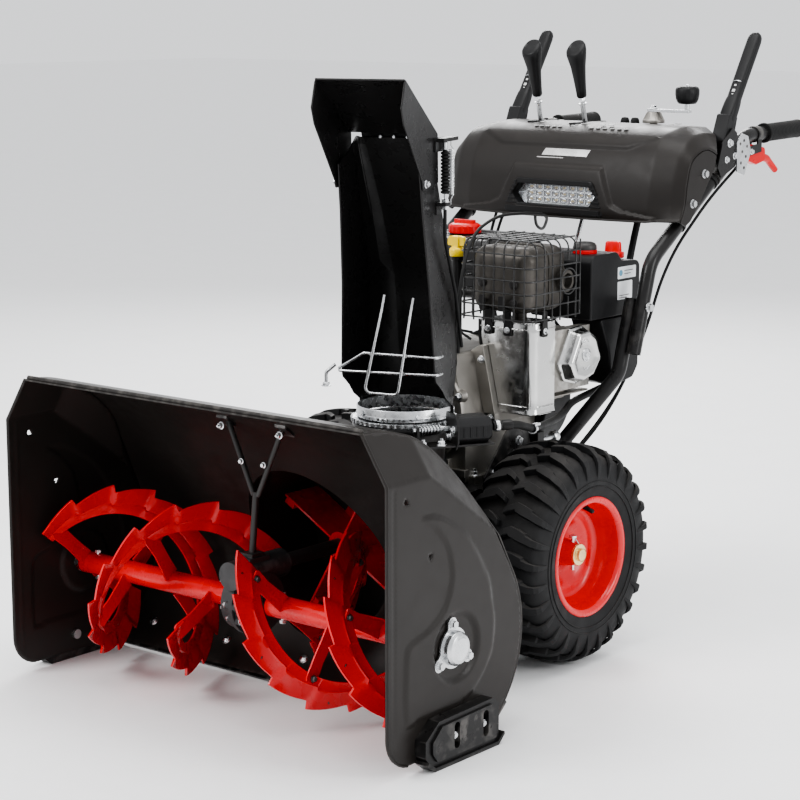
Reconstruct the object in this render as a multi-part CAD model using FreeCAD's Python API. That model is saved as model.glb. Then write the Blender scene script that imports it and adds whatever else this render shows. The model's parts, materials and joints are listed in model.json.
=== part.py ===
import FreeCAD, Part
import math
import os

# Two stage snowblower, in millimetres. X runs across the machine, Y from the front edge of the auger
# housing (0) back to the hand grips, and Z up from the ground. The finished parts are moved so that
# the middle of the machine's footprint is the origin.

# ---- driving dimensions -------------------------------------------------------------------------
LENGTH = 1562.0            # front edge of the housing to the end of the grips
HALF_WIDTH = 437.0         # middle of the housing to the outside of a side plate
SHEET = 3.0                # steel sheet of the housing, drum and chute
RUN_GAP = 0.05             # radial clearance of a shaft in its bearing
GAP = 0.6                  # clearance between pieces that move past each other

HOUSING_TOP = 550.0
HOUSING_FLOOR = 14.0
FOLD_Z = 471.0             # where the side plate starts to lean inward, at the front edge
FOLD_RUN = (51.0, 79.0)    # inward and upward run of the leaning part of the side plate
FOLD_BEND_Y = 104.0        # behind this the fold falls towards the back
FOLD_FALL = 0.70
TOP_ARC = (9.0, 270.0, 280.0)      # y, z and radius of the housing's upper bend
LOW_ARC = (165.0, 180.0, 190.0)    # the same of the bend round the auger
STRAIGHT_ANGLE = 30.0              # direction, from the two centres, of the straight stretch

AUGER_AXIS = (165.0, 182.0)        # y, z
AUGER_RADIUS = 156.0
AUGER_INNER = 100.0
SHAFT_RADIUS = 12.5
IMPELLER_Z = 236.0
IMPELLER_RADIUS = 149.0
DRUM_RADIUS = 158.0
DRUM_BACK = 510.0

CHUTE_CENTRE = (113.0, 440.0)
CHUTE_TURN = 18.0          # how far the chute is turned towards +X at rest, degrees
RING_RADIUS = 84.0
RING_Z = (482.0, 503.0)
DEFLECTOR_PIVOT = (-108.0, 899.0)  # back and up, in the chute's own directions

AXLE_Y = 715.0
AXLE_Z = 203.0
WHEEL_X = 252.0
TYRE_RADIUS = 203.0
TYRE_WIDTH = 164.0
FRAME_HALF = 150.0
FRAME_TOP = 318.0
CRANK_Z = 450.0

HANDLE_X = 255.0
TUBE_RADIUS = 14.0
GRIP_RADIUS = 17.5
DASH_HALF = 285.0
CLUTCH_PIVOT = (1256.0, 925.0)
TRIGGER_PIVOT = (1352.0, 903.0)
LEVER_PIVOT = (1205.0, 880.0)
DEFLECTOR_LEVER_X = -133.0
SPEED_LEVER_X = -23.0
HAND_CRANK = (100.0, 1250.0)

NECK_LOW = 262.0           # heights of the neck between the drum and the chute
NECK_TOP = 466.0
SKID_BOLTS_Y = (146.0, 222.0)
SKID_BOLT_Z = 45.0
SKID_OUTER = 464.0
BEARING_BOLTS = ((162.0, 222.0), (202.0, 161.0), (128.0, 160.0))   # y, z on the side plates
GEARBOX_BOLTS = (-150, -100, -50, 0, 180)                          # directions round the flange
WORM_WHEEL_RADIUS = 40.0
WORM_RADIUS = 11.5
AUGER_TURN = 310.0           # how far each ribbon winds, degrees
AUGER_PHASES = {1: 130.0, -1: 17.0}    # direction where a ribbon starts on the right and left auger
RIBBON_LEAN = 14.0           # how far a ribbon's inner edge leans outward along the shaft
IMPELLER_BLADES = 4
DRIVE_TURN = 60.0          # direction of the worm beside the chute's ring, degrees from +X
CASE_HALF = 136.0          # half width of the box between the wheels
LUGS = 18
FILLER = (0.0, 735.0)      # x, y of the oil filler
CHOKE = (166.0, 1014.0)    # x, y of the choke knob
FUEL_NECK = (-96.0, 884.0)


# ---- shapes -------------------------------------------------------------------------------------
def vec(x, y, z):
    return FreeCAD.Vector(x, y, z)


def box(x, y, z):
    """Block between the low and high value given for each axis."""
    return Part.makeBox(x[1] - x[0], y[1] - y[0], z[1] - z[0], vec(x[0], y[0], z[0]))


def rod(start, direction, radius, length):
    return Part.makeCylinder(radius, length, vec(*start), vec(*direction))


def sleeve(start, direction, outer, inner, length):
    return rod(start, direction, outer, length).cut(rod(start, direction, inner, length))


def rounded_path(points, radii, closed):
    """Wire of straight runs joined by tangent arcs; radii holds one radius for each point."""
    count = len(points)
    edges = []
    starts = []
    for i, point in enumerate(points):
        ends_here = not closed and i in (0, count - 1)
        if ends_here or radii[i] == 0:
            starts.append((point, point, None))
            continue
        back = (points[i - 1] - point).normalize()
        ahead = (points[(i + 1) % count] - point).normalize()
        half = back.getAngle(ahead) / 2.0
        middle = (back + ahead).normalize()
        tangent = radii[i] / math.tan(half)
        summit = point + middle * (radii[i] / math.sin(half) - radii[i])
        starts.append((point + back * tangent, point + ahead * tangent, summit))
    for i, (arrive, leave, summit) in enumerate(starts):
        if summit is not None:
            edges.append(Part.Arc(arrive, summit, leave).toShape())
        following = starts[(i + 1) % count][0]
        if (closed or i < count - 1) and leave.distanceToPoint(following) > 1e-6:
            edges.append(Part.LineSegment(leave, following).toShape())
    return Part.Wire(edges)


def in_plane(axis, a, b, along):
    """Point with in-plane values a and b, in X, Y, Z order, and its place along the axis."""
    if axis == "x":
        return vec(along, a, b)
    if axis == "y":
        return vec(a, along, b)
    return vec(a, b, along)


def prism(outline, axis, low, high, radius=0.0):
    """Flat outline with rounded corners, stretched along an axis."""
    radii = radius if isinstance(radius, list) else [radius] * len(outline)
    corners = [in_plane(axis, a, b, low) for a, b in outline]
    face = Part.Face(rounded_path(corners, radii, True))
    return face.extrude(in_plane(axis, 0, 0, high - low))


def turned(outline, origin, direction, radius=0.0):
    """Turned solid; the outline holds (distance along the axis, radius) pairs."""
    radii = radius if isinstance(radius, list) else [radius] * len(outline)
    corners = [vec(r, 0, along) for along, r in outline]
    face = Part.Face(rounded_path(corners, radii, True))
    solid = face.revolve(vec(0, 0, 0), vec(0, 0, 1), 360)
    solid.Placement = FreeCAD.Placement(vec(*origin), FreeCAD.Rotation(vec(0, 0, 1), vec(*direction)))
    return solid


def pipe(points, radius, bend):
    """Round bar or cable along straight runs and tangent arcs."""
    route = [vec(*p) for p in points]
    radii = bend if isinstance(bend, list) else [bend] * len(route)
    path = rounded_path(route, radii, False)
    ring = Part.Wire(Part.makeCircle(radius, route[0], route[1] - route[0]))
    return path.makePipeShell([ring], True, False)


def hollow_pipe(points, radius, bore, bend):
    return pipe(points, radius, bend).cut(pipe(points, bore, bend))


def easy_bends(points):
    """Bend radii as large as the runs beside each corner leave room for."""
    route = [vec(*p) for p in points]
    radii = [0.0] * len(route)
    for i in range(1, len(route) - 1):
        before = route[i] - route[i - 1]
        after = route[i + 1] - route[i]
        turn = before.getAngle(after)
        radii[i] = 0.45 * min(before.Length, after.Length) / math.tan(turn / 2.0)
    return radii


def hexagon(centre, direction, across, height):
    radius = across / math.sqrt(3.0)
    corners = [vec(radius * math.cos(math.radians(60 * i)), radius * math.sin(math.radians(60 * i)), 0)
               for i in range(6)]
    solid = Part.Face(Part.makePolygon(corners + [corners[0]])).extrude(vec(0, 0, height))
    solid.Placement = FreeCAD.Placement(vec(*centre), FreeCAD.Rotation(vec(0, 0, 1), vec(*direction)))
    return solid


def bolt_head(centre, direction, across=13.0):
    """Flanged hexagon head that stands on a surface."""
    flange = 0.15 * across
    disc = rod(centre, direction, 0.72 * across, flange)
    unit = vec(*direction).normalize()
    seat = vec(*centre) + unit * flange
    return disc.fuse(hexagon((seat.x, seat.y, seat.z), direction, across, 0.5 * across)).removeSplitter()


def loft(sections):
    """Ruled solid through closed polygons with equal numbers of corners."""
    wires = [Part.makePolygon(list(points) + [points[0]]) for points in sections]
    return Part.makeLoft(wires, True, True)


def mirrored(shape):
    return shape.mirror(vec(0, 0, 0), vec(1, 0, 0))


def both_sides(shape):
    return Part.Compound([shape, mirrored(shape)])


def fused(shapes):
    return shapes[0].multiFuse(shapes[1:]).removeSplitter()


def turned_about(shape, centre, axis, degrees):
    copy = shape.copy()
    copy.rotate(vec(*centre), vec(*axis), degrees)
    return copy


# ---- auger housing ------------------------------------------------------------------------------
def housing_profile(inset, front, floor):
    """Side view of the housing, its curved back moved inward by inset."""
    y1, z1, r1 = TOP_ARC
    y2, z2, r2 = LOW_ARC
    r1 -= inset
    r2 -= inset
    low_angle = math.asin((HOUSING_FLOOR - z2) / r2)
    lean = math.radians(STRAIGHT_ANGLE)

    def on_arc(y, z, r, angle):
        return vec(0, y + r * math.cos(angle), z + r * math.sin(angle))

    upright = math.pi / 2
    top = on_arc(y1, z1, r1, upright)
    bend_end = on_arc(y1, z1, r1, lean)
    low_start = on_arc(y2, z2, r2, lean)
    low_end = on_arc(y2, z2, r2, low_angle)
    edges = [
        Part.LineSegment(vec(0, front, top.z), top).toShape(),
        Part.Arc(top, on_arc(y1, z1, r1, (upright + lean) / 2), bend_end).toShape(),
        Part.LineSegment(bend_end, low_start).toShape(),
        Part.Arc(low_start, on_arc(y2, z2, r2, (lean + low_angle) / 2), low_end).toShape(),
    ]
    if floor < HOUSING_FLOOR:
        edges.append(Part.LineSegment(low_end, vec(0, low_end.y, floor)).toShape())
    edges.append(Part.LineSegment(vec(0, low_end.y, floor), vec(0, front, floor)).toShape())
    edges.append(Part.LineSegment(vec(0, front, floor), vec(0, front, top.z)).toShape())
    return Part.Face(Part.Wire(edges))


def housing_block(inset, front, floor):
    """Solid inside the housing's outline, with its upper corners leaning inward."""
    half = HALF_WIDTH - inset
    run, rise = FOLD_RUN
    fold = FOLD_Z - inset * (math.hypot(run, rise) - rise) / run
    reach = 3.0
    profile = housing_profile(inset, front, floor)
    profile.translate(vec(-half, 0, 0))
    block = profile.extrude(vec(2 * half, 0, 0))

    def gable(height):
        top = height + reach * rise
        return [(-half, floor - 400), (half, floor - 400), (half, height), (half - reach * run, top),
                (reach * run - half, top), (-half, height)]

    level = prism(gable(fold), "y", front, 400.0)
    start = FOLD_BEND_Y - 150.0
    corners = [in_plane("y", x, z + 150.0 * FOLD_FALL, start) for x, z in gable(fold + 2.0)]
    falling = Part.Face(Part.makePolygon(corners + [corners[0]])).extrude(vec(0, 600.0, -600.0 * FOLD_FALL))
    return block.common(level).common(falling)


def housing_shell():
    return housing_block(0.0, 0.0, HOUSING_FLOOR).cut(housing_block(SHEET, -30.0, -30.0))


def wrap_zone():
    """Region of the sheet that is bent over the top and down the back."""
    outer = housing_profile(0.0, 0.0, HOUSING_FLOOR)
    inner = housing_profile(SHEET, -30.0, -30.0)
    zone = outer.cut(inner)
    zone.translate(vec(-HALF_WIDTH, 0, 0))
    return zone.extrude(vec(2 * HALF_WIDTH, 0, 0))


def bucket_wrap():
    """Bent top and back sheet with a rolled front lip and the mouth of the impeller drum."""
    sheet = housing_shell().common(wrap_zone())
    mouth = rod((0, 150, IMPELLER_Z), (0, 1, 0), DRUM_RADIUS, 300)
    lip_half = HALF_WIDTH - FOLD_RUN[0] - 4
    lip = pipe([(-lip_half, 6, HOUSING_TOP + 2), (lip_half, 6, HOUSING_TOP + 2)], 4.0, 0)
    return sheet.cut(mouth).fuse(lip)


def side_plate():
    """Right side plate: flat panel, leaning top, front hem, rounded toe and bearing hole."""
    toe = 55.0
    plate = [s for s in housing_shell().cut(wrap_zone()).Solids if s.CenterOfMass.x > 0][0]
    corner = box((0, 500), (-1, toe), (HOUSING_FLOOR - 1, HOUSING_FLOOR + toe))
    corner = corner.cut(rod((0, toe, HOUSING_FLOOR + toe), (1, 0, 0), toe, 500))
    hem = box((HALF_WIDTH, HALF_WIDTH + 3), (0, 15), (HOUSING_FLOOR + toe, FOLD_Z - 2))
    hole = rod((400, *AUGER_AXIS), (1, 0, 0), 20.0, 60)
    plate = plate.cut(corner).fuse(hem).cut(hole)
    for y, z in ((49, 440), (110, 343)):
        diamond = [(y - 5, z), (y, z + 8), (y + 5, z), (y, z - 8)]
        plate = plate.cut(prism(diamond, "x", 400, 450))
    for y in SKID_BOLTS_Y:
        plate = plate.cut(rod((400, y, SKID_BOLT_Z), (1, 0, 0), 5.5, 60))
    return plate


def impeller_drum():
    """Round drum behind the housing, its back plate, and the neck that leads up to the chute."""
    wall = SHEET
    centre_x, centre_y = CHUTE_CENTRE
    axis = (0, 1, 0)

    def neck(radius_low, radius_high, low, high):
        slope = (high - NECK_LOW) / (NECK_TOP - NECK_LOW)
        top = (86 + (centre_x - 86) * slope, 433 + (centre_y - 433) * slope, high)
        foot = Part.Wire(Part.makeCircle(radius_low, vec(86, 433, low), vec(0, 0, 1)))
        head = Part.Wire(Part.makeCircle(radius_high, vec(*top), vec(0, 0, 1)))
        return Part.makeLoft([foot, head], True, True)

    outside = rod((0, 200, IMPELLER_Z), axis, DRUM_RADIUS + wall, DRUM_BACK - 200)
    inside = rod((0, 190, IMPELLER_Z), axis, DRUM_RADIUS, DRUM_BACK - 190 - wall)
    outside = outside.fuse(neck(74.0, 80.0, NECK_LOW, NECK_TOP))
    inside = inside.fuse(neck(71.0, 77.0, NECK_LOW, NECK_TOP + 0.5))
    drum = outside.cut(inside).cut(housing_block(0.0, -5.0, 0.0))
    boss = rod((0, DRUM_BACK, IMPELLER_Z), axis, 32.0, 9.0)
    bore = rod((0, DRUM_BACK - 10, IMPELLER_Z), axis, SHAFT_RADIUS + RUN_GAP, 30.0)
    return drum.fuse(boss).cut(bore)


def scraper_bar():
    """Wear bar along the lower edge of the housing."""
    outline = [(256, 6), (259.5, 2.5), (317, 51), (314, 55)]
    return prism(outline, "x", 3 - HALF_WIDTH, HALF_WIDTH - 3)


def skid_shoe():
    """Right skid shoe: slotted chamfered block on a runner with turned-up ends."""
    inner = HALF_WIDTH
    body = prism([(84, 6), (70, 26), (70, 52), (104, 78), (246, 82), (262, 70), (262, 6)],
                 "x", inner, SKID_OUTER - 5, 3.0)
    face = prism([(96, 14), (84, 30), (84, 48), (108, 70), (240, 74), (252, 66), (252, 14)],
                 "x", SKID_OUTER - 5, SKID_OUTER - 1, 3.0)
    runner = prism([(70, 14), (88, 0), (256, 0), (272, 14), (272, 20), (254, 6), (90, 6), (72, 20)],
                   "x", inner, SKID_OUTER, 0.8)
    shoe = fused([body, face, runner])
    for y in SKID_BOLTS_Y:
        slot = prism([(y - 7, 24), (y + 7, 24), (y + 7, 68), (y - 7, 68)], "x", inner - 1, SKID_OUTER + 1, 6.9)
        shoe = shoe.cut(slot)
    return shoe


def skid_bolt(y):
    """Carriage bolt with its washer and nut in the slot of a skid shoe."""
    shank = rod((HALF_WIDTH - 7, y, SKID_BOLT_Z), (1, 0, 0), 4.0, 31)
    head = rod((HALF_WIDTH - 8, y, SKID_BOLT_Z), (1, 0, 0), 9.0, 4.9)
    nut = hexagon((HALF_WIDTH + 15, y, SKID_BOLT_Z), (1, 0, 0), 11.0, 7.0)
    return fused([shank, head, nut])


def auger_bearing():
    """Right bearing flange: three-lobed plate with a domed cap over the shaft end."""
    y, z = AUGER_AXIS
    plate = rod((HALF_WIDTH, y, z), (1, 0, 0), 34.0, 3.0)
    for by, bz in BEARING_BOLTS:
        ear = rod((HALF_WIDTH, by, bz), (1, 0, 0), 11.0, 3.0)
        reach = math.hypot(by - y, bz - z)
        uy, uz = (by - y) / reach, (bz - z) / reach
        web = [(y - 26 * uz, z + 26 * uy), (y + 26 * uz, z - 26 * uy),
               (by + 9 * uz, bz - 9 * uy), (by - 9 * uz, bz + 9 * uy)]
        plate = plate.fuse(ear).fuse(prism(web, "x", HALF_WIDTH, HALF_WIDTH + 3))
    cap = turned([(0, 0), (0, 29), (9, 28), (14, 24), (16, 18), (16, 0)],
                 (HALF_WIDTH + 3, y, z), (1, 0, 0), [0, 0, 3, 3, 3, 0])
    bore = rod((HALF_WIDTH - 10, y, z), (1, 0, 0), SHAFT_RADIUS + RUN_GAP, 24)
    hub = sleeve((HALF_WIDTH - SHEET - 4, y, z), (1, 0, 0), 19.5, SHAFT_RADIUS + RUN_GAP, SHEET + 4)
    return fused([plate, cap]).cut(bore).fuse(hub)


# ---- auger, gearbox and impeller ----------------------------------------------------------------
def gearbox_strap():
    """Forked bar that hangs the auger gearbox from the housing."""
    left = pipe([(-68, 176, 500), (-5, 176, 366)], 5.0, 0)
    stem = pipe([(0, 176, 372), (0, 165, 266)], 6.0, 0)
    foot = box((-14, 14), (150, 180), (262, 268))
    ear = box((-80, -56), (164, 188), (470, 500))
    ear = ear.common(housing_block(SHEET, -30.0, -30.0)).cut(housing_block(SHEET + 4, -30.0, -30.0))
    arms = fused([left, ear, mirrored(left), mirrored(ear), stem])
    return arms.common(housing_block(SHEET, -30.0, -30.0)).cut(box((-20, 20), (140, 190), (200, 262))).fuse(foot)


def auger_gearbox_case():
    """Two-part cast case of the worm gear, bolted round the flange, with a hollow inside."""
    y, z = AUGER_AXIS
    wide = 27.0
    body = rod((-wide, y, z), (1, 0, 0), 52.0, 2 * wide)
    flange = rod((-5, y, z), (1, 0, 0), 58.0, 10.0)
    tunnel = rod((0, 108, IMPELLER_Z), (0, 1, 0), 25.0, 130.0)
    tower = box((-18, 18), (140, 190), (IMPELLER_Z, 262))
    hubs = rod((-wide - 9, y, z), (1, 0, 0), 24.0, 2 * wide + 18)
    solids = [body, flange, tunnel, tower, hubs]
    for angle in GEARBOX_BOLTS:
        by = y + 50 * math.cos(math.radians(angle))
        bz = z + 50 * math.sin(math.radians(angle))
        solids.append(rod((-13, by, bz), (1, 0, 0), 8.0, 26))
    case = fused(solids)
    wheel_room = rod((-14, y, z), (1, 0, 0), 46.0, 28)
    worm_room = rod((0, 122, IMPELLER_Z), (0, 1, 0), 14.0, 90)
    shaft_bore = rod((-60, y, z), (1, 0, 0), SHAFT_RADIUS + RUN_GAP, 120)
    impeller_bore = rod((0, 116, IMPELLER_Z), (0, 1, 0), SHAFT_RADIUS + RUN_GAP, 140)
    return case.cut(wheel_room).cut(worm_room).cut(shaft_bore).cut(impeller_bore)


def auger_shaft():
    """Through shaft of both augers, carrying the toothed worm wheel."""
    y, z = AUGER_AXIS
    end = HALF_WIDTH + 12.0
    shaft = rod((-end, y, z), (1, 0, 0), SHAFT_RADIUS, 2 * end)
    teeth = 30
    outline = []
    for i in range(teeth):
        for step, radius in ((0.0, 37.5), (0.22, WORM_WHEEL_RADIUS), (0.5, WORM_WHEEL_RADIUS), (0.72, 37.5)):
            angle = 2 * math.pi * (i + step) / teeth
            outline.append((y + radius * math.cos(angle), z + radius * math.sin(angle)))
    return shaft.fuse(prism(outline, "x", -9, 9))


def auger_ribbon(side, phase):
    """Saw-toothed helical ribbon, wound in mirrored hands on the two sides; phase is its starting direction."""
    y, z = AUGER_AXIS
    start_x, end_x = 60.0, 404.0
    teeth = 11
    half = 2.5
    sections = []
    for i in range(teeth):
        for step, rise in ((0.0, 1.0), (0.45, 0.55), (0.93, 0.0)):
            part = (i + step) / teeth
            if i == teeth - 1 and step > 0.9:
                part = 1.0
            angle = math.radians(phase + AUGER_TURN * part)
            x = start_x + (end_x - start_x) * part
            outer = AUGER_RADIUS - 14 + 14 * rise
            cy, cz = math.cos(angle), math.sin(angle)
            sections.append([
                vec(side * (x - half + RIBBON_LEAN), y + AUGER_INNER * cy, z + AUGER_INNER * cz),
                vec(side * (x - half), y + outer * cy, z + outer * cz),
                vec(side * (x + half), y + outer * cy, z + outer * cz),
                vec(side * (x + half + RIBBON_LEAN), y + AUGER_INNER * cy, z + AUGER_INNER * cz)])
    return loft(sections)


def auger_spoke(side, phase, part):
    """Flat arm from the auger's tube to the ribbon at part of its turn."""
    y, z = AUGER_AXIS
    x = 60.0 + 344.0 * part + RIBBON_LEAN - 2.0
    bar = box((x - 2.5, x + 2.5), (17.0, AUGER_INNER + 3), (-17, 17))
    if side < 0:
        bar = mirrored(bar)
    bar.rotate(vec(0, 0, 0), vec(1, 0, 0), phase + AUGER_TURN * part)
    bar.translate(vec(0, y, z))
    return bar


def auger(side):
    """One auger: tube over the shaft, two ribbons half a turn apart, and their arms."""
    y, z = AUGER_AXIS
    start = 44.0 if side > 0 else -422.0
    tube = rod((start, y, z), (1, 0, 0), 20.0, 378.0)
    solids = [tube]
    for phase in (AUGER_PHASES[side], AUGER_PHASES[side] + 180.0):
        solids.append(auger_ribbon(side, phase))
        solids += [auger_spoke(side, phase, part) for part in (0.03, 0.34, 0.66, 0.97)]
    bore = rod((start - 5, y, z), (1, 0, 0), SHAFT_RADIUS, 390.0)
    return fused(solids).cut(bore)


def impeller():
    """Bladed fan with a back disc, welded to its hub."""
    hub = rod((0, 392, IMPELLER_Z), (0, 1, 0), 24.0, 92.0)
    disc = rod((0, 478, IMPELLER_Z), (0, 1, 0), 70.0, 4.0)
    solids = [hub, disc]
    for i in range(IMPELLER_BLADES):
        blade = box((22, IMPELLER_RADIUS), (392, 482), (-2, 2))
        blade = blade.fuse(box((IMPELLER_RADIUS - 26, IMPELLER_RADIUS - 4), (394, 480), (2, 14)))
        blade.rotate(vec(0, 0, 0), vec(0, 1, 0), 360.0 * i / IMPELLER_BLADES + 30.0)
        blade.translate(vec(0, 0, IMPELLER_Z))
        solids.append(blade)
    limit = rod((0, 380, IMPELLER_Z), (0, 1, 0), IMPELLER_RADIUS, 120.0)
    bore = rod((0, 380, IMPELLER_Z), (0, 1, 0), SHAFT_RADIUS, 120.0)
    return fused(solids).common(limit).cut(bore)


def impeller_shaft():
    """Shaft from the worm in the gearbox through the drum to the belt pulley."""
    shaft = rod((0, 118, IMPELLER_Z), (0, 1, 0), SHAFT_RADIUS, 440.0)
    neck = sleeve((0, 127, IMPELLER_Z), (0, 1, 0), 20.0, WORM_RADIUS - 1.5, 80.0)
    worm = shaft.cut(neck)
    turns = 7
    for i in range(turns):
        worm = worm.fuse(rod((0, 134 + 10 * i, IMPELLER_Z), (0, 1, 0), WORM_RADIUS, 5.0))
    pulley = turned([(0, 0), (0, 96), (4, 96), (9, 84), (13, 84), (18, 96), (22, 96), (22, 0)],
                    (0, 532, IMPELLER_Z), (0, 1, 0))
    return worm.fuse(pulley)


def crankshaft_pulley():
    """Engine's output shaft end with its belt pulley."""
    shaft = rod((0, 528, CRANK_Z), (0, 1, 0), SHAFT_RADIUS, 110.0)
    pulley = turned([(0, 0), (0, 44), (4, 44), (9, 34), (13, 34), (18, 44), (22, 44), (22, 0)],
                    (0, 532, CRANK_Z), (0, 1, 0))
    return shaft.fuse(pulley)


def belt_loop(gap):
    """Outline through the two pulleys' belt line, gap away from the grooves."""
    low_radius = 84.0 + gap
    high_radius = 34.0 + gap
    rise = CRANK_Z - IMPELLER_Z
    lean = math.asin((low_radius - high_radius) / rise)
    c, s = math.cos(lean), math.sin(lean)
    low_right = vec(low_radius * c, 0, IMPELLER_Z + low_radius * s)
    high_right = vec(high_radius * c, 0, CRANK_Z + high_radius * s)
    low_left = vec(-low_right.x, 0, low_right.z)
    high_left = vec(-high_right.x, 0, high_right.z)
    edges = [
        Part.LineSegment(low_right, high_right).toShape(),
        Part.Arc(high_right, vec(0, 0, CRANK_Z + high_radius), high_left).toShape(),
        Part.LineSegment(high_left, low_left).toShape(),
        Part.Arc(low_left, vec(0, 0, IMPELLER_Z - low_radius), low_right).toShape(),
    ]
    return Part.Face(Part.Wire(edges))


def drive_belt():
    """Belt round the engine's and the impeller's pulleys."""
    belt = belt_loop(8.0).cut(belt_loop(GAP))
    belt.translate(vec(0, 541.3, 0))
    return belt.extrude(vec(0, 3.4, 0))


def belt_cover():
    """Moulded cover over the pulleys, between the drum and the engine."""
    def shell(margin, low, high):
        wide = 112.0 + margin
        narrow = 56.0 + margin
        outline = [(-wide, IMPELLER_Z), (-narrow, CRANK_Z), (-narrow, CRANK_Z + 52 + margin),
                   (narrow, CRANK_Z + 52 + margin), (narrow, CRANK_Z), (wide, IMPELLER_Z),
                   (wide * 0.75, IMPELLER_Z - 86), (0, IMPELLER_Z - 124 - margin), (-wide * 0.75, IMPELLER_Z - 86)]
        return prism(outline, "y", low, high, 16.0)

    cover = shell(4.0, 521.0, 600.0).cut(shell(0.0, 524.0, 602.0))
    return cover.cut(rod((0, 500, IMPELLER_Z), (0, 1, 0), 33.0, 40.0))


# ---- chute --------------------------------------------------------------------------------------
def at_chute(shape):
    """Moves a shape from the chute's own directions to its place on the machine."""
    shape.rotate(vec(0, 0, 0), vec(0, 0, 1), CHUTE_TURN)
    shape.translate(vec(*CHUTE_CENTRE, 0))
    return shape


def chute_base():
    """Fixed flange on the drum's neck that the chute turns on, with three keepers."""
    x, y = CHUTE_CENTRE
    ring = sleeve((x, y, NECK_TOP), (0, 0, 1), 92.0, 78.0, 6.0)
    return ring.fuse(sleeve((x, y, NECK_TOP - 8), (0, 0, 1), 84.0, 81.0, 8.0))


def chute_ring():
    """Zinc-plated ring of the chute with a toothed flange."""
    low, high = RING_Z
    band = sleeve((0, 0, low), (0, 0, 1), RING_RADIUS, RING_RADIUS - 2.5, high - low)
    teeth = 48
    outline = []
    for i in range(teeth):
        for step, radius in ((0.0, 91.0), (0.25, 95.0), (0.5, 95.0), (0.75, 91.0)):
            angle = 2 * math.pi * (i + step) / teeth
            outline.append((radius * math.cos(angle), radius * math.sin(angle)))
    flange = prism(outline, "z", NECK_TOP + 6 + GAP, low)
    flange = flange.cut(rod((0, 0, low - 30), (0, 0, 1), RING_RADIUS - 2.5, 60))
    return at_chute(band.fuse(flange))


def chute_section(height, half, front, side_end, back, corner, wall):
    """Open-fronted trough section: half width, front edge, end of the sides, back, corner size."""
    outer = [(-half, front), (-half, side_end), (-half + 0.35 * corner, side_end + 0.6 * (back - side_end)),
             (-half + corner, back), (half - corner, back),
             (half - 0.35 * corner, side_end + 0.6 * (back - side_end)), (half, side_end), (half, front)]
    middle_y = front
    inner = []
    for x, y in outer:
        inner.append((x * (half - wall) / half, middle_y + (y - middle_y) * (back - wall - front) / (back - front)))
    return [vec(x, y, height) for x, y in outer + inner[::-1]]


CHUTE_SECTIONS = (
    # height, half width, front edge, end of the sides, back, corner
    (486.0, 87.5, -60.0, 6.0, 87.5, 52.0),
    (577.0, 87.0, -78.0, 34.0, 84.0, 46.0),
    (720.0, 81.0, -89.0, 30.0, 70.0, 36.0),
    (850.0, 76.0, -108.0, -20.0, 16.0, 26.0),
    (972.0, 74.0, -128.0, -66.0, -46.0, 18.0),
)


def chute_body():
    """Open-fronted chute, cut away in front of the ring."""
    trough = loft([chute_section(*section, SHEET) for section in CHUTE_SECTIONS])
    cut = prism([(-140, 470), (14, 470), (14, 500), (-24, 520), (-44, 538), (-80, 556), (-140, 556)],
                "x", -120, 120, [0, 0, 12, 12, 12, 8, 0])
    top = prism([(-200, 930), (-96, 930), (-66, 960), (-66, 1000), (-200, 1000)], "x", -120, 120)
    core = rod((0, 0, 470), (0, 0, 1), RING_RADIUS + 0.3, RING_Z[1] - 470)
    shell = trough.cut(cut).cut(top).cut(core)
    lower_bracket = box((74, 96), (-52, -24), (856, 864))
    for side in (-1, 1):
        shell = shell.cut(rod((side * 60, *DEFLECTOR_PIVOT), (side, 0, 0), 4.0, 30))
    return at_chute(shell.fuse(lower_bracket))


def chute_guard():
    """Welded wire guard across the open front of the chute."""
    front = -84.0
    half = 90.2
    wire = 2.6
    low = pipe([(-half, front + 16, 569), (-half, front, 569), (half + 3, front, 571), (half + 3, front + 22, 571)],
               wire, 5)
    high = pipe([(-half, front - 1, 575), (-40, front - 1, 603), (half + 3, front - 1, 601),
                 (half + 3, front + 24, 601)], wire, 6)
    fork = pipe([(-3, front - 2, 708), (-6, front - 6, 682), (-40, front - 4, 534), (22, front - 4, 533),
                 (47, front - 6, 680), (50, front - 2, 705)], wire, [0, 30, 9, 9, 30, 0])
    return at_chute(fused([low, high, fork]))


def deflector():
    """Hood on top of the chute that tilts forward on two side bolts."""
    inner = 78.0
    outer = inner + 2.5
    y, z = DEFLECTOR_PIVOT
    outline = [(-201, 1076), (-50, 981), (-47, 897), (-96, 889), (-118, 889), (-122, 902), (-208, 1002), (-219, 1028)]
    radii = [6, 3, 3, 6, 8, 8, 8, 4]
    hood = prism(outline, "x", -outer, outer, radii)
    room = prism([(-260, 1040), (-201, 1072.5), (-40, 971.2), (-40, 800), (-260, 800)], "x", -inner, inner)
    hole = rod((-100, y, z), (1, 0, 0), 4.05, 200)
    bracket = box((outer, outer + 18), (-70, 2), (966, 974))
    return at_chute(hood.cut(room).cut(hole).fuse(bracket))


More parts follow.
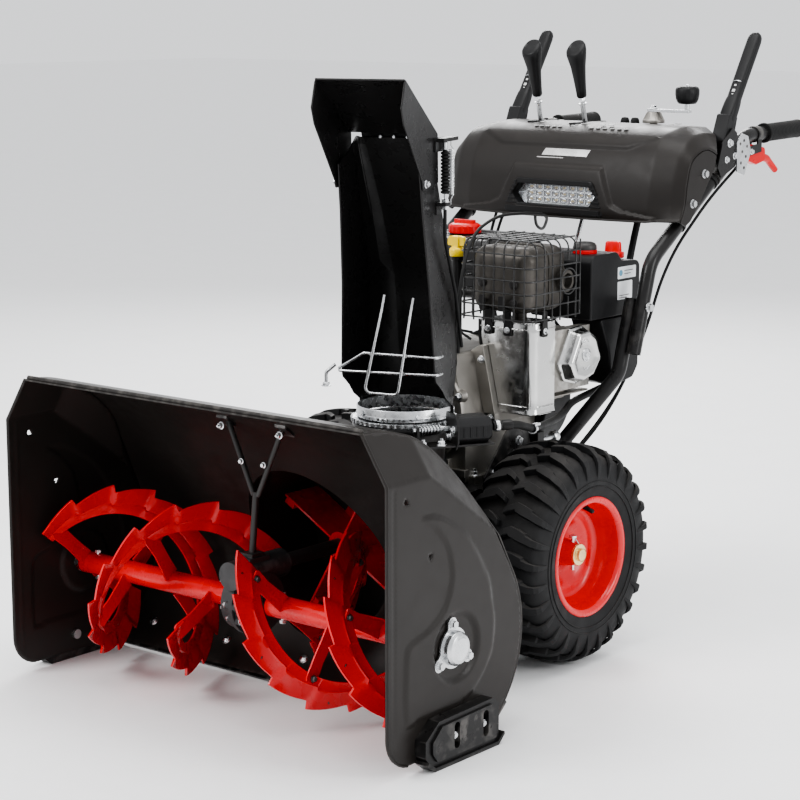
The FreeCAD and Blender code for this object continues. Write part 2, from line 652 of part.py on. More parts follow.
def deflector_cable():
    """Cable bellows, its end rod and the return spring, beside the chute."""
    x = 90.0
    low, high = 864.0 + GAP, 950.0
    solids = [rod((x, -26, low), (0, 0, 1), 2.5, high - low + 8)]
    rings = 9
    for i in range(rings):
        base = low + 14 + i * 7.5
        solids.append(turned([(0, 2.5), (0, 5), (3.75, 8), (7.5, 5), (7.5, 2.5)], (x, -26, base), (0, 0, 1)))
    bellows = fused(solids)
    spring_turns = 22
    coils = []
    for i in range(spring_turns):
        coils.append(Part.makeTorus(4.2, 1.0, vec(x, -8, low + 6 + i * 3.9), vec(0, 0, 1)))
    tail = pipe([(x, -26, 855.4), (x, -26, 800), (x, 20, 700), (x - 4, 62, 600)], 2.5, [0, 60, 60, 0])
    return at_chute(Part.Compound([bellows, tail] + coils))


def pivot_bolts():
    """Bolts that the deflector tilts on."""
    y, z = DEFLECTOR_PIVOT
    solids = []
    for side in (-1, 1):
        shank = rod((side * 71, y, z), (side, 0, 0), 4.0, 11.5)
        nut = bolt_head((side * 82, y, z), (side, 0, 0), 9.0)
        solids.append(shank.fuse(nut))
    return at_chute(Part.Compound(solids))


def drive_direction():
    turn = math.radians(DRIVE_TURN)
    return math.cos(turn), math.sin(turn)


DRIVE_REACH = 95.0 + 9.0 + GAP     # middle of the ring to the worm's axis
DRIVE_Z = 474.0


def at_drive(shape):
    """Moves a shape from the drive's own directions, with the ring towards +Y, to its place."""
    ux, uy = drive_direction()
    x, y = CHUTE_CENTRE
    shape.rotate(vec(0, 0, 0), vec(0, 0, 1), DRIVE_TURN)
    shape.translate(vec(x + uy * DRIVE_REACH, y - ux * DRIVE_REACH, DRIVE_Z))
    return shape


def chute_drive():
    """Bracket, cover and worm that turn the chute's ring."""
    cover = prism([(12, -24), (-24, -24), (-36, -14), (-36, 8), (-24, 22), (12, 22)], "x", 47, 112, 3.0)
    plate = prism([(14, -34), (-30, -34), (-40, -20), (-40, 10), (-28, 28), (14, 28)], "x", 43, 47, 4.0)
    shelf = box((-20, 118), (-34, 12), (-28, -24))
    arm = box((-20, 40), (10, 24), (-28, -24))
    bolts = [bolt_head((43, -22, 0), (-1, 0, 0), 10.0), bolt_head((43, -4, -14), (-1, 0, 0), 10.0)]
    stem = rod((-24, 0, 0), (1, 0, 0), 5.0, 68)
    post = box((-20, -14), (-8, 8), (-25, 6))
    roller = rod((-12, 0, 0), (1, 0, 0), 8.4, 40)
    gland = rod((112, -8, 0), (1, 0, 0), 9.0, 10)
    return at_drive(fused([cover, plate, shelf, arm, stem, post, roller, gland] + bolts))


# ---- frame and wheels ---------------------------------------------------------------------------
def transmission_case():
    """Folded steel box between the wheels, with ears beside the engine and axle bearings."""
    wall = 4.0
    front = DRUM_BACK + 100
    outer = [(front, 130), (front, 290), (640, FRAME_TOP), (880, FRAME_TOP), (880, 170), (840, 130)]
    inner = [(front + 4, 134), (front + 4, 288), (641, FRAME_TOP - wall), (876, FRAME_TOP - wall),
             (876, 172), (838, 134)]
    case = prism(outer, "x", -CASE_HALF, CASE_HALF)
    case = case.cut(prism(inner, "x", wall - CASE_HALF, CASE_HALF - wall))
    ear = prism([(628, FRAME_TOP - wall), (628, 339), (698, 419), (760, 419), (790, FRAME_TOP - wall)],
                "x", FRAME_HALF - wall, FRAME_HALF, [0, 4, 10, 10, 0])
    ledge = box((CASE_HALF - wall, FRAME_HALF), (628, 790), (FRAME_TOP - wall, FRAME_TOP))
    arm = prism([(DRUM_BACK, 244), (DRUM_BACK, 308), (640, FRAME_TOP), (front, 244)],
                "x", CASE_HALF - wall, CASE_HALF)
    solids = [case]
    for piece in (ear, ledge, arm):
        solids += [piece, mirrored(piece)]
    for side in (-1, 1):
        solids.append(rod((side * (CASE_HALF - 14), AXLE_Y, AXLE_Z), (side, 0, 0), 26.0, 20))
    return fused(solids).cut(rod((-200, AXLE_Y, AXLE_Z), (1, 0, 0), SHAFT_RADIUS - 0.5 + RUN_GAP, 400))


TYRE_PROFILE = (
    # across from the middle of the tyre, radius: outside from bead to bead, then inside
    (-68.0, 100.0), (-82.0, 140.0), (-76.0, 178.0), (-40.0, 192.0), (0.0, 195.0), (40.0, 192.0), (76.0, 178.0),
    (82.0, 140.0), (68.0, 100.0), (60.0, 103.0), (72.0, 140.0), (64.0, 168.0), (0.0, 180.0), (-64.0, 168.0),
    (-72.0, 140.0), (-60.0, 103.0))


def tyre():
    """Pneumatic tyre of the right wheel, hollow, with V-shaped lugs."""
    bends = [3, 30, 20, 30, 0, 30, 20, 30, 3, 3, 25, 15, 30, 15, 25, 3]
    carcass = turned(TYRE_PROFILE, (WHEEL_X, AXLE_Y, AXLE_Z), (1, 0, 0), bends)
    lugs = []
    for i in range(LUGS):
        for side in (-1, 1):
            block = prism([(0 if side > 0 else -4, 6), (side * 62, -14), (side * 78, -6), (side * 78, 12),
                           (side * 60, 12), (side * 8, 26)], "z", 168, TYRE_RADIUS + 3)
            crown = turned([(-78, 150), (-78, 186), (-40, 199), (0, TYRE_RADIUS), (40, 199), (78, 186), (78, 150)],
                           (0, 0, 0), (1, 0, 0), [0, 8, 40, 60, 40, 8, 0])
            block = block.common(crown)
            block.rotate(vec(0, 0, 0), vec(1, 0, 0), 360.0 * (i + (0.5 if side > 0 else 0.0)) / LUGS)
            block.translate(vec(WHEEL_X, AXLE_Y, AXLE_Z))
            lugs.append(block)
    return carcass.multiFuse(lugs)


def rim():
    """Deep-dished rim of the right wheel with its hub and half axle."""
    centre = (WHEEL_X, AXLE_Y, AXLE_Z)
    outside = [(-76, 112), (-73, 112), (-73, 99.6), (-52, 99.6), (-30, 88)]
    inside = [(-31, 85), (-52, 96.6), (-76, 96.6)]
    outline = outside + [(-x, r) for x, r in outside[::-1]]
    outline += [(-x, r) for x, r in inside[::-1]] + inside
    barrel = turned(outline, centre, (1, 0, 0))
    disc = turned([(10, 0), (14, 0), (14, 40), (26, 60), (26, 86), (22, 86), (22, 62), (10, 42)],
                  centre, (1, 0, 0), [0, 0, 4, 4, 0, 0, 4, 4])
    hub = rod((WHEEL_X - 60, AXLE_Y, AXLE_Z), (1, 0, 0), 20.0, 112.0)
    axle = rod((20, AXLE_Y, AXLE_Z), (1, 0, 0), SHAFT_RADIUS - 0.5, 290.0)
    pin = rod((WHEEL_X + 44, AXLE_Y, AXLE_Z - 30), (0, 0, 1), 3.5, 60.0)
    valve = rod((WHEEL_X + 54, AXLE_Y, AXLE_Z + 96.5), (1, 0, -0.35), 4.0, 26.0)
    return fused([barrel, disc, hub, axle, pin, valve])


# ---- engine -------------------------------------------------------------------------------------
def engine_crankcase():
    """Cast block with its inclined cylinder, sitting on the frame."""
    block = prism([(-112, FRAME_TOP), (96, FRAME_TOP), (96, 420), (66, 560), (-90, 560), (-112, 520)],
                  "y", 640, 858, 10.0)
    cylinder = box((60, 170), (732, 850), (470, 590))
    foot = box((-130, 110), (650, 850), (FRAME_TOP, FRAME_TOP + 14))
    nose = rod((0, 640 - 20, CRANK_Z), (0, 1, 0), 46.0, 40)
    bore = rod((0, 600, CRANK_Z), (0, 1, 0), SHAFT_RADIUS + RUN_GAP, 60)
    fins = [box((100 + 9 * i, 104 + 9 * i), (730, 852), (462, 598)) for i in range(8)]
    head = box((170, 191), (738, 900), (482, 598))
    port = box((92, 128), (768, 804), (590, 600))
    return fused([block, cylinder, foot, nose, head, port] + fins).cut(bore)


def cylinder_shroud():
    """Zinc-coated air shroud round the front and right of the cylinder."""
    outer = prism([(66, 716), (194, 716), (194, 786), (66, 786)], "z", 446, 618, [0, 26, 0, 0])
    inner = prism([(60, 718), (192, 718), (192, 800), (60, 800)], "z", 440, 616, [0, 24, 0, 0])
    stem_notch = rod((110, 786, 610), (0, 0, 1), 18.0, 20)
    corner = prism([(60, 440), (96, 440), (70, 566), (60, 566)], "y", 710, 725)
    return outer.cut(inner).cut(corner).cut(stem_notch)


def rocker_cover():
    """Tapered six-sided valve cover."""
    base = [(788, 530), (806, 500), (846, 490), (884, 500), (914, 534), (890, 584), (862, 600), (824, 596)]
    face = [(812, 532), (824, 512), (848, 504), (876, 512), (896, 536), (876, 576), (858, 588), (832, 584)]
    skirt = prism(base, "x", 191, 199, 8.0)
    crown = loft([[vec(199, y, z) for y, z in base], [vec(221, y, z) for y, z in face]])
    boss = rod((219, 852, 548), (1, 0, 0), 9.0, 4.0)
    return fused([skirt.common(box((190, 200), (700, 1000), (400, 700))), crown, boss])


MUFFLER_BOX = ((52.0, 188.0), (704.0, 836.0), (634.0, 756.0))


def muffler():
    """Pressed silencer with a round outlet towards the right."""
    x, y, z = MUFFLER_BOX
    body = prism([(x[0], z[0]), (x[1], z[0]), (x[1], z[1]), (x[0], z[1])], "y", y[0], y[1], 26.0)
    body = body.common(prism([(y[0], z[0]), (y[1], z[0]), (y[1], z[1]), (y[0], z[1])], "x", x[0], x[1], 26.0))
    stem = rod((110, 786, 600), (0, 0, 1), 16.0, 44.0)
    outlet = sleeve((176, 808, 690), (1, 0, 0), 17.0, 14.0, 24.0)
    return fused([body.cut(rod((170, 808, 690), (1, 0, 0), 14.0, 40)), stem, outlet])


GUARD_BOX = ((38.0, 203.0), (690.0, 848.0), (620.0, 770.0))


def muffler_guard():
    """Cage of round wire over the silencer, on three feet."""
    (x0, x1), (y0, y1), (z0, z1) = GUARD_BOX
    wire = 1.8
    solids = []
    for i in range(4):
        z = z0 + 8 + i * 38.0
        hoop = [(x0, y1, z), (x0, y0, z), (x1, y0, z), (x1, y1, z)]
        solids.append(pipe(hoop, wire, [0, 16, 16, 0]))
    for i in range(6):
        x = x0 + 18 + i * 25.0
        solids.append(pipe([(x, y0, z0), (x, y0, z1), (x, y1, z1)], wire, 18))
    for i in range(5):
        y = y0 + 26 + i * 28.0
        if i == 3:
            continue
        solids.append(pipe([(x1, y, z0), (x1, y, z1), (x0, y, z1)], wire, [0, 18, 0]))
    for x in (92.0, 136.0):
        solids.append(box((x - 8, x + 8), (712, 715.6), (590, 634)))
        solids.append(box((x - 5, x + 5), (y0, 714), (627, 633)))
    return fused(solids)


def engine_covers():
    """Carburettor cover and the side cover below it, as two mouldings."""
    def moulding(outline, x0, x1, corner):
        outer = prism(outline, "x", x0, x1, corner)
        inner = outer.copy()
        middle = outer.BoundBox.Center
        scale = FreeCAD.Matrix()
        scale.move(vec(-middle.x, -middle.y, -middle.z))
        scale.scale(0.955, 0.955, 0.955)
        scale.move(vec(middle.x - 4, middle.y, middle.z))
        return outer.cut(inner.transformGeometry(scale))

    upper = moulding([(886, 606), (886, 730), (974, 730), (988, 712), (1052, 712), (1052, 606)],
                     62, 204, [12, 12, 6, 6, 12, 12])
    lower = moulding([(918, 603), (1052, 603), (1052, 496), (1030, 480), (958, 474), (958, 540)], 132, 204, 10.0)
    return Part.Compound([upper, lower])


def recoil_housing():
    """Blower housing at the back of the engine with its starter dome."""
    front = (-4, 858, CRANK_Z)
    drum = turned([(0, 0), (0, 126), (86, 126), (102, 96), (120, 90), (120, 0)], front, (0, 1, 0),
                  [0, 6, 14, 8, 6, 0])
    room = turned([(4, 0), (4, 122), (82, 122), (98, 92), (116, 86), (116, 0)], front, (0, 1, 0))
    shell = drum.cut(room)
    for i in range(12):
        slot = turned_about(box((52, 76), (940, 990), (-3, 3)), (0, 0, 0), (0, 1, 0), 30.0 * i)
        slot.translate(vec(-4, 0, CRANK_Z))
        shell = shell.cut(slot)
    return shell


TANK_BOX = ((-200.0, 30.0), (792.0, 1000.0), (636.0, 752.0))


def fuel_tank():
    """Pressed tank in two halves with a seam and a filler neck, and its stand."""
    (x0, x1), (y0, y1), (z0, z1) = TANK_BOX
    seam_z = (z0 + z1) / 2

    def half(low, high, inset):
        return prism([(x0 + inset, y0 + inset), (x1 - inset, y0 + inset), (x1 - inset, y1 - inset),
                      (x0 + inset, y1 - inset)], "z", low, high, 34.0 - inset)

    body = half(z0, z1, 6.0)
    seam = half(seam_z - 2, seam_z + 2, 0.0)
    hollow = half(z0 + 3, z1 - 3, 9.0)
    neck = sleeve((*FUEL_NECK, z1 - 4), (0, 0, 1), 22.0, 18.0, 12.0)
    mouth = rod((*FUEL_NECK, z1 - 10), (0, 0, 1), 18.0, 40)
    posts = [box((x, x + 14), (y, y + 14), (560, z0)) for x, y in ((-80, 800), (10, 806))]
    return fused([body.fuse(seam).cut(hollow).cut(mouth), neck] + posts)


def fuel_cap():
    """Screw cap over the filler neck."""
    top = TANK_BOX[2][1]
    x, y = FUEL_NECK
    outer = turned([(0, 0), (0, 30), (16, 30), (20, 24), (20, 0)], (x, y, top + 2), (0, 0, 1), [0, 0, 4, 4, 0])
    inner = rod((x, y, top + 1), (0, 0, 1), 22.0 + GAP, 8.0 + GAP)
    grip = box((x - 1.5, x + 1.5), (y + 28, y + 31.5), (top + 4, top + 17))
    grips = [turned_about(grip, (x, y, 0), (0, 0, 1), 30.0 * i) for i in range(12)]
    return fused([outer.cut(inner)] + grips)


def oil_filler_tube():
    x, y = FILLER
    return sleeve((x, y, 560), (0, 0, 1), 10.0, 7.0, 168.0)


def dipstick():
    """Oil dipstick with its bright cap and wing grip."""
    x, y = FILLER
    blade = rod((x, y, 590), (0, 0, 1), 3.0, 142.0)
    cap = rod((x, y, 728 + RUN_GAP * 2), (0, 0, 1), 14.0, 16.0)
    stem = box((x - 5, x + 5), (y - 5, y + 5), (744, 752))
    wing = prism([(x - 20, 750), (x + 20, 750), (x + 17, 766), (x - 17, 766)], "y", y - 4, y + 4, 4.0)
    return fused([blade, cap, stem, wing])


def choke_knob():
    """Knob on top of the carburettor cover."""
    x, y = CHOKE
    body = rod((x, y, 712.8), (0, 0, 1), 21.0, 14.0)
    grip = prism([(x - 19, y - 6), (x + 19, y - 6), (x + 19, y + 6), (x - 19, y + 6)], "z", 726.8, 742, 5.9)
    return fused([body, grip])


def recoil_handle():
    """Pull handle of the starter cord, resting against its housing."""
    return prism([(-100, 520), (-24, 520), (-24, 538), (-100, 538)], "y", 979, 993, 8.0)


# ---- handles and controls -----------------------------------------------------------------------
def lower_handle():
    """Right lower handle tube, from the frame outward round the wheel."""
    x = CASE_HALF + TUBE_RADIUS + 0.1
    route = [(x, 770, 250), (x, 872, 368), (226.9, 948, 500), (226.9, 990, 640)]
    return hollow_pipe(route, TUBE_RADIUS, TUBE_RADIUS - 2, [0, 60, 60, 0])


HANDLE_BEND = (1345.0, 935.0)      # y, z where the sloping run meets the grips' run
HANDLE_SLOPE = 223.0 / 337.0
GRIP_SLOPE = 5.0 / 213.0


def upper_handle():
    """Right upper handle tube, from the joint below the dashboard to the grip."""
    y, z = HANDLE_BEND
    route = [(HANDLE_X, 955, 540), (HANDLE_X, y - 337, z - 337 * HANDLE_SLOPE), (HANDLE_X, y, z),
             (HANDLE_X, y + 213, z + 213 * GRIP_SLOPE)]
    return hollow_pipe(route, TUBE_RADIUS, TUBE_RADIUS - 2, [0, 70, 90, 0])


def hand_grip():
    """Ribbed rubber grip over the end of the right handle."""
    y, z = HANDLE_BEND
    start = (HANDLE_X, y + 73, z + 73 * GRIP_SLOPE)
    direction = (0, 1, GRIP_SLOPE)
    grip = turned([(0, 0), (0, 20), (5, 20), (5, GRIP_RADIUS), (138, GRIP_RADIUS), (143.9, 12), (143.9, 0)],
                  start, direction, [0, 0, 0, 0, 6, 4, 0])
    grip = grip.cut(rod(start, direction, TUBE_RADIUS, 140.05))
    for i in range(14):
        along = 12.0 + 8.6 * i
        at = vec(*start) + vec(*direction).normalize() * along
        grip = grip.cut(sleeve((at.x, at.y, at.z), direction, GRIP_RADIUS + 2, GRIP_RADIUS - 1, 2.0))
    return grip


DASH_SECTIONS = (
    # half position across, then (y, z) along the outside from the front edge to the back of the deck
    (285.0, ((1064, 783), (1080, 815), (1086, 852), (1100, 893), (1130, 912), (1160, 916), (1190, 905))),
    (262.0, ((1060, 782), (1068, 812), (1076, 862), (1096, 912), (1130, 938), (1180, 946), (1222, 940))),
    (215.0, ((1056, 781), (1054, 806), (1066, 872), (1092, 926), (1132, 950), (1200, 957), (1262, 953))),
    (0.0, ((1052, 780), (1048, 804), (1060, 874), (1088, 928), (1132, 952), (1200, 958), (1266, 954))),
)


def dashboard():
    """Moulded console: crowned front, deck and end plates, open underneath and behind."""
    wall = 4.0

    def thick(x, chain):
        inner = []
        for i, (y, z) in enumerate(chain):
            before = chain[max(i - 1, 0)]
            after = chain[min(i + 1, len(chain) - 1)]
            dy, dz = after[0] - before[0], after[1] - before[1]
            size = math.hypot(dy, dz)
            inner.append((y + wall * dz / size, z - wall * dy / size))
        return [vec(x, y, z) for y, z in list(chain) + inner[::-1]]

    rows = [(-x, chain) for x, chain in DASH_SECTIONS] + [(x, chain) for x, chain in DASH_SECTIONS[2::-1]]
    skin = loft([thick(x, chain) for x, chain in rows])
    end_chain = list(DASH_SECTIONS[0][1])
    end = [(y, z) for y, z in end_chain] + [(1186, 882), (1146, 833), (1100, 781), (1082, 774)]
    plate = prism(end, "x", DASH_HALF - wall, DASH_HALF, [0, 0, 0, 0, 0, 0, 0, 10, 40, 14, 8])
    shell = fused([skin, plate, mirrored(plate)])
    slot = box((SPEED_LEVER_X - 7, SPEED_LEVER_X + 7), (1140, 1250), (930, 970))
    other = box((DEFLECTOR_LEVER_X - 7, DEFLECTOR_LEVER_X + 7), (1150, 1235), (930, 970))
    lamp = prism([(-84, 842), (84, 842), (100, 822), (84, 802), (-84, 802), (-100, 822)], "y", 1020, 1075, 3.0)
    crank_hole = rod((*HAND_CRANK, 900), (0, 0, 1), 9.0, 100)
    return shell.cut(slot).cut(other).cut(lamp).cut(crank_hole)


def headlight_housing():
    """Reflector box behind the lamp's window, with rows of small reflectors."""
    outer = prism([(-90, 848), (90, 848), (106, 822), (90, 796), (-90, 796), (-106, 822)], "y", 1064.5, 1092, 3.0)
    inner = prism([(-84, 841), (84, 841), (98, 822), (84, 803), (-84, 803), (-98, 822)], "y", 1060, 1074, 3.0)
    shell = outer.cut(inner)
    for row in range(3):
        for column in range(8):
            x = -70 + 20.0 * column
            z = 822 + 12.5 * (row - 1)
            shell = shell.cut(turned([(0, 0), (0, 2.5), (6, 5.5), (7, 5.5), (7, 0)], (x, 1080, z), (0, -1, 0)))
    return shell


def headlight_lens():
    """Clear window of the lamp."""
    return prism([(-83, 840), (83, 840), (97, 822), (83, 804), (-83, 804), (-97, 822)], "y", 1060, 1063, 3.0)


def lever_bracket():
    """Right bracket on the handle: folded channel for the clutch lever, and a plated cable plate."""
    y, z = CLUTCH_PIVOT
    x = HANDLE_X
    half = 19.0
    outline = [(1228, 858), (1214, 880), (1230, 926), (1268, 955), (1284, 944), (1296, 908), (1280, 878)]
    channel = prism(outline, "x", x - half, x + half, 5.0)
    room = prism([(1200, 840), (1200, 990), (1320, 990), (1320, 840)], "x", x - half + 2.5, x + half - 2.5)
    cheeks = channel.cut(room)
    pin = rod((x - half - 2, y, z), (1, 0, 0), 4.0, 2 * half + 4)
    bend_y, bend_z = HANDLE_BEND
    saddle_z = bend_z - (bend_y - 1225) * HANDLE_SLOPE
    saddle = sleeve((x, 1225, saddle_z), (0, 1, HANDLE_SLOPE), 17.0, TUBE_RADIUS, 30.0)
    plate = prism([(1290, 925), (1318, 935), (1330, 905), (1306, 862), (1284, 880)], "x", x + half, x + half + 2.5, 5.0)
    plate = plate.cut(rod((x + half - 1, 1306, 900), (1, 0, 0), 7.0, 10))
    return fused([cheeks, pin, saddle, plate])


def clutch_lever():
    """Right clutch lever: socket on the pivot pin and a long flat paddle."""
    y, z = CLUTCH_PIVOT
    x = HANDLE_X
    half = 15.5
    socket = prism([(1244, 912), (1240, 930), (1262, 982), (1292, 976), (1278, 930), (1268, 912)],
                   "x", x - half, x + half, 4.0)
    paddle = turned([(0, 0), (0, 12), (50, 14), (186, 10), (200, 5), (200, 0)], (x, 1274, 968), (0, 99, 155),
                    [0, 2, 20, 8, 4, 0])
    lever = fused([socket, paddle])
    return lever.cut(rod((x - 40, y, z), (1, 0, 0), 4.0 + RUN_GAP, 80))


def steering_trigger():
    """Right steering trigger below the handle."""
    y, z = TRIGGER_PIVOT
    x = HANDLE_X
    body = prism([(1340, 912), (1362, 912), (1412, 904), (1414, 884), (1382, 880), (1340, 892)],
                 "x", x - 9, x + 9, 5.0)
    tail = pipe([(x, 1400, 893), (x, 1436, 884), (x, 1472, 858)], 6.5, 30)
    return fused([body, tail]).cut(rod((x - 20, y, z), (1, 0, 0), 4.0 + RUN_GAP, 40))


def trigger_pivots():
    """Clamps under both handles that carry the triggers' pins."""
    y, z = TRIGGER_PIVOT
    x = HANDLE_X
    ring_y = y + 24
    bend_y, bend_z = HANDLE_BEND
    ring_z = bend_z + (ring_y - bend_y) * GRIP_SLOPE
    ring = sleeve((x, ring_y, ring_z), (0, 1, GRIP_SLOPE), 16.5, TUBE_RADIUS, 18.0)
    solids = [ring, rod((x - 13, y, z), (1, 0, 0), 4.0, 26)]
    for side in (-1, 1):
        low, high = sorted((x + side * 10, x + side * 13))
        cheek = prism([(y - 8, z - 8), (y - 8, z + 10), (ring_y + 1, z + 14), (ring_y + 1, z + 24),
                       (ring_y + 16, z + 24), (ring_y + 16, z - 2)], "x", low, high)
        inside = rod((x, ring_y - 2, ring_z - 2 * GRIP_SLOPE), (0, 1, GRIP_SLOPE), TUBE_RADIUS, 30.0)
        solids.append(cheek.cut(inside))
    return both_sides(fused(solids))


def hand_lever(x):
    """Console lever: plated rod on a pivot boss, with a sculpted knob."""
    y, z = LEVER_PIVOT
    top = (x, y - 32.0, z + 132.0)
    direction = (0, -32.0, 132.0)
    boss = rod((x - 6, y, z), (1, 0, 0), 11.0, 12)
    stem = rod((x, y, z), direction, 5.0, 150.0)
    knob = turned([(0, 0), (0, 9), (18, 12), (60, 12.5), (84, 17), (104, 17.5), (112, 10), (112, 0)],
                  top, direction, [0, 3, 10, 20, 12, 8, 6, 0])
    lever = fused([boss, stem, knob])
    return lever.cut(rod((x - 20, y, z), (1, 0, 0), 4.0 + RUN_GAP, 40))


def lever_shaft():
    """Cross shaft under the deck that the two console levers turn on, with its hangers."""
    y, z = LEVER_PIVOT
    shaft = rod((-168, y, z), (1, 0, 0), 4.0, 180)
    hangers = [box((x - 2, x + 2), (y - 10, y + 10), (z - 10, 951.0)) for x in (-166, 10)]
    return fused([shaft] + hangers)


def chute_crank():
    """Hand crank on the console with its arm and knob."""
    x, y = HAND_CRANK
    base = turned([(0, 0), (0, 22), (6, 22), (20, 14), (22, 14), (22, 0)], (x, y, 959), (0, 0, 1))
    spindle = rod((x, y, 925), (0, 0, 1), 8.0, 60)
    arm = prism([(x - 10, y - 8), (x + 84, y - 6), (x + 84, y + 6), (x - 10, y + 8)], "z", 981, 987, 5.0)
    post = rod((x + 78, y, 987), (0, 0, 1), 5.0, 16)
    knob = turned([(0, 0), (0, 14), (12, 19), (26, 20), (34, 16), (34, 0)], (x + 78, y, 999), (0, 0, 1),
                  [0, 3, 6, 6, 5, 0])
    return fused([base, spindle, arm, post, knob])


HOSE_ROUTE = ((285, 590, 455), (240, 690, 442), (208, 790, 440), (165, 880, 448), (160, 960, 456), (158, 1070, 470),
              (135, 1088, 560), (108, 1160, 700), (100, 1230, 840), (100, 1250, 920))


def crank_hose():
    """Flexible drive from the hand crank to the chute's worm."""
    ux, uy = drive_direction()
    x = CHUTE_CENTRE[0] + uy * (DRIVE_REACH + 8) + ux * 122
    y = CHUTE_CENTRE[1] - ux * (DRIVE_REACH + 8) + uy * 122
    route = [(x, y, DRIVE_Z), (x + ux * 46, y + uy * 46, DRIVE_Z)] + list(HOSE_ROUTE)
    return pipe(route, 7.0, easy_bends(route))


CABLE_ROUTES = (
    # auger clutch, drive clutch, right and left steering, deflector
    ((238, 1236, 852), (222, 1160, 780), (196, 1080, 680), (170, 1110, 520), (120, 1075, 400), (80, 980, 296),
     (60, 884, 250)),
    ((-238, 1236, 852), (-222, 1160, 780), (-196, 1080, 680), (-150, 1075, 520), (-120, 1040, 400), (-90, 960, 296),
     (-80, 884, 250)),
    ((255, 1330, 880), (240, 1240, 815), (215, 1130, 700), (190, 1085, 540), (160, 1010, 400), (120, 884, 290)),
    ((-255, 1330, 880), (-240, 1240, 815), (-215, 1130, 700), (-190, 1085, 540), (-160, 1010, 400), (-120, 884, 290)),
    ((-133, 1217, 864), (-124, 1160, 800), (-80, 1095, 755), (-20, 1040, 750), (36, 980, 790), (46, 900, 800),
     (60, 780, 806), (84, 670, 780), (100, 612, 690), (104, 606, 570)),
)


def control_cables():
    """Sheathed control cables along their clipped routes."""
    return Part.Compound([pipe(route, 3.0, easy_bends(route)) for route in CABLE_ROUTES])


def speed_rod():
    """Plated rod from the speed lever down to the drive, with a clevis at each end."""
    x = SPEED_LEVER_X + 20
    return pipe([(x, 1196, 862), (x, 1060, 560), (x, 1010, 300), (x, 884, 270)], 4.5, 40)


def frame_fasteners():
    """Bolts of the scraper bar, skid shoes, bearings, frame, handles and dashboard."""
    heads = []
    y, z, radius = LOW_ARC
    lean = math.radians(-46.0)
    reach = radius - SHEET - 0.4
    for i in range(-2, 3):
        seat = (190.0 * i, y + reach * math.cos(lean), z + reach * math.sin(lean))
        heads.append(turned([(0, 0), (0, 9), (3, 7), (5, 0)], seat, (0, -math.cos(lean), -math.sin(lean))))
    on_sides = [(HALF_WIDTH + 3, by, bz, 11.0) for by, bz in BEARING_BOLTS]
    on_sides += [(FRAME_HALF, 655, 344, 12.0), (FRAME_HALF, 730, 395, 12.0)]
    on_sides += [(DASH_HALF, 1145, 872, 12.0), (DASH_HALF, 1104, 817, 12.0)]
    on_sides += [(HANDLE_X + TUBE_RADIUS + 0.1, 982, 628, 13.0)]
    for x, by, bz, across in on_sides:
        head = bolt_head((x, by, bz), (1, 0, 0), across)
        heads += [head, mirrored(head)]
    for by in SKID_BOLTS_Y:
        heads += [skid_bolt(by), mirrored(skid_bolt(by))]
    return Part.Compound(heads)


# ---- the list of sub-parts ----------------------------------------------------------------------
def parts():
    """Every sub-part by name, in the machine's own place."""
    named = {
        "bucket_wrap": bucket_wrap(),
        "impeller_drum": impeller_drum(),
        "scraper_bar": scraper_bar(),
        "gearbox_strap": gearbox_strap(),
        "auger_gearbox_case": auger_gearbox_case(),
        "auger_shaft": auger_shaft(),
        "auger_left": auger(-1),
        "auger_right": auger(1),
        "impeller": impeller(),
        "impeller_shaft": impeller_shaft(),
        "crankshaft_pulley": crankshaft_pulley(),
        "drive_belt": drive_belt(),
        "belt_cover": belt_cover(),
        "chute_base": chute_base(),
        "chute_ring": chute_ring(),
        "chute_body": chute_body(),
        "chute_guard": chute_guard(),
        "chute_deflector": deflector(),
        "deflector_fittings": Part.Compound([deflector_cable(), pivot_bolts()]),
        "chute_drive": chute_drive(),
        "transmission_case": transmission_case(),
        "engine_crankcase": engine_crankcase(),
        "cylinder_shroud": cylinder_shroud(),
        "rocker_cover": rocker_cover(),
        "muffler": muffler(),
        "muffler_guard": muffler_guard(),
        "engine_covers": engine_covers(),
        "recoil_housing": recoil_housing(),
        "recoil_handle": recoil_handle(),
        "fuel_tank": fuel_tank(),
        "fuel_cap": fuel_cap(),
        "oil_filler_tube": oil_filler_tube(),
        "dipstick": dipstick(),
        "choke_knob": choke_knob(),
        "dashboard": dashboard(),
        "headlight_housing": headlight_housing(),
        "headlight_lens": headlight_lens(),
        "deflector_lever": hand_lever(DEFLECTOR_LEVER_X),
        "speed_lever": hand_lever(SPEED_LEVER_X),
        "lever_linkage": Part.Compound([lever_shaft(), speed_rod()]),
        "chute_crank": chute_crank(),
        "crank_hose": crank_hose(),
        "control_cables": control_cables(),
        "frame_fasteners": frame_fasteners(),
        "hand_grips": both_sides(hand_grip()),
        "control_brackets": Part.Compound([both_sides(lever_bracket()), trigger_pivots()]),
        "lower_handles": both_sides(lower_handle()),
        "upper_handles": both_sides(upper_handle()),
        "skid_shoes": both_sides(skid_shoe()),
        "auger_bearings": both_sides(auger_bearing()),
    }
    pairs = {
        "side_plate": side_plate(), "tyre": tyre(), "rim": rim(),
        "clutch_lever": clutch_lever(), "steering_trigger": steering_trigger(),
    }
    for name, right in pairs.items():
        named[name + "_right"] = right
        named[name + "_left"] = mirrored(right)
    return named


os.makedirs("parts", exist_ok=True)
for node, shape in parts().items():
    shape.translate(vec(0, -LENGTH / 2, 0))
    shape.exportStep("parts/" + node + ".step")
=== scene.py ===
import json
import math

import bmesh
import bpy
from mathutils import Matrix, Vector


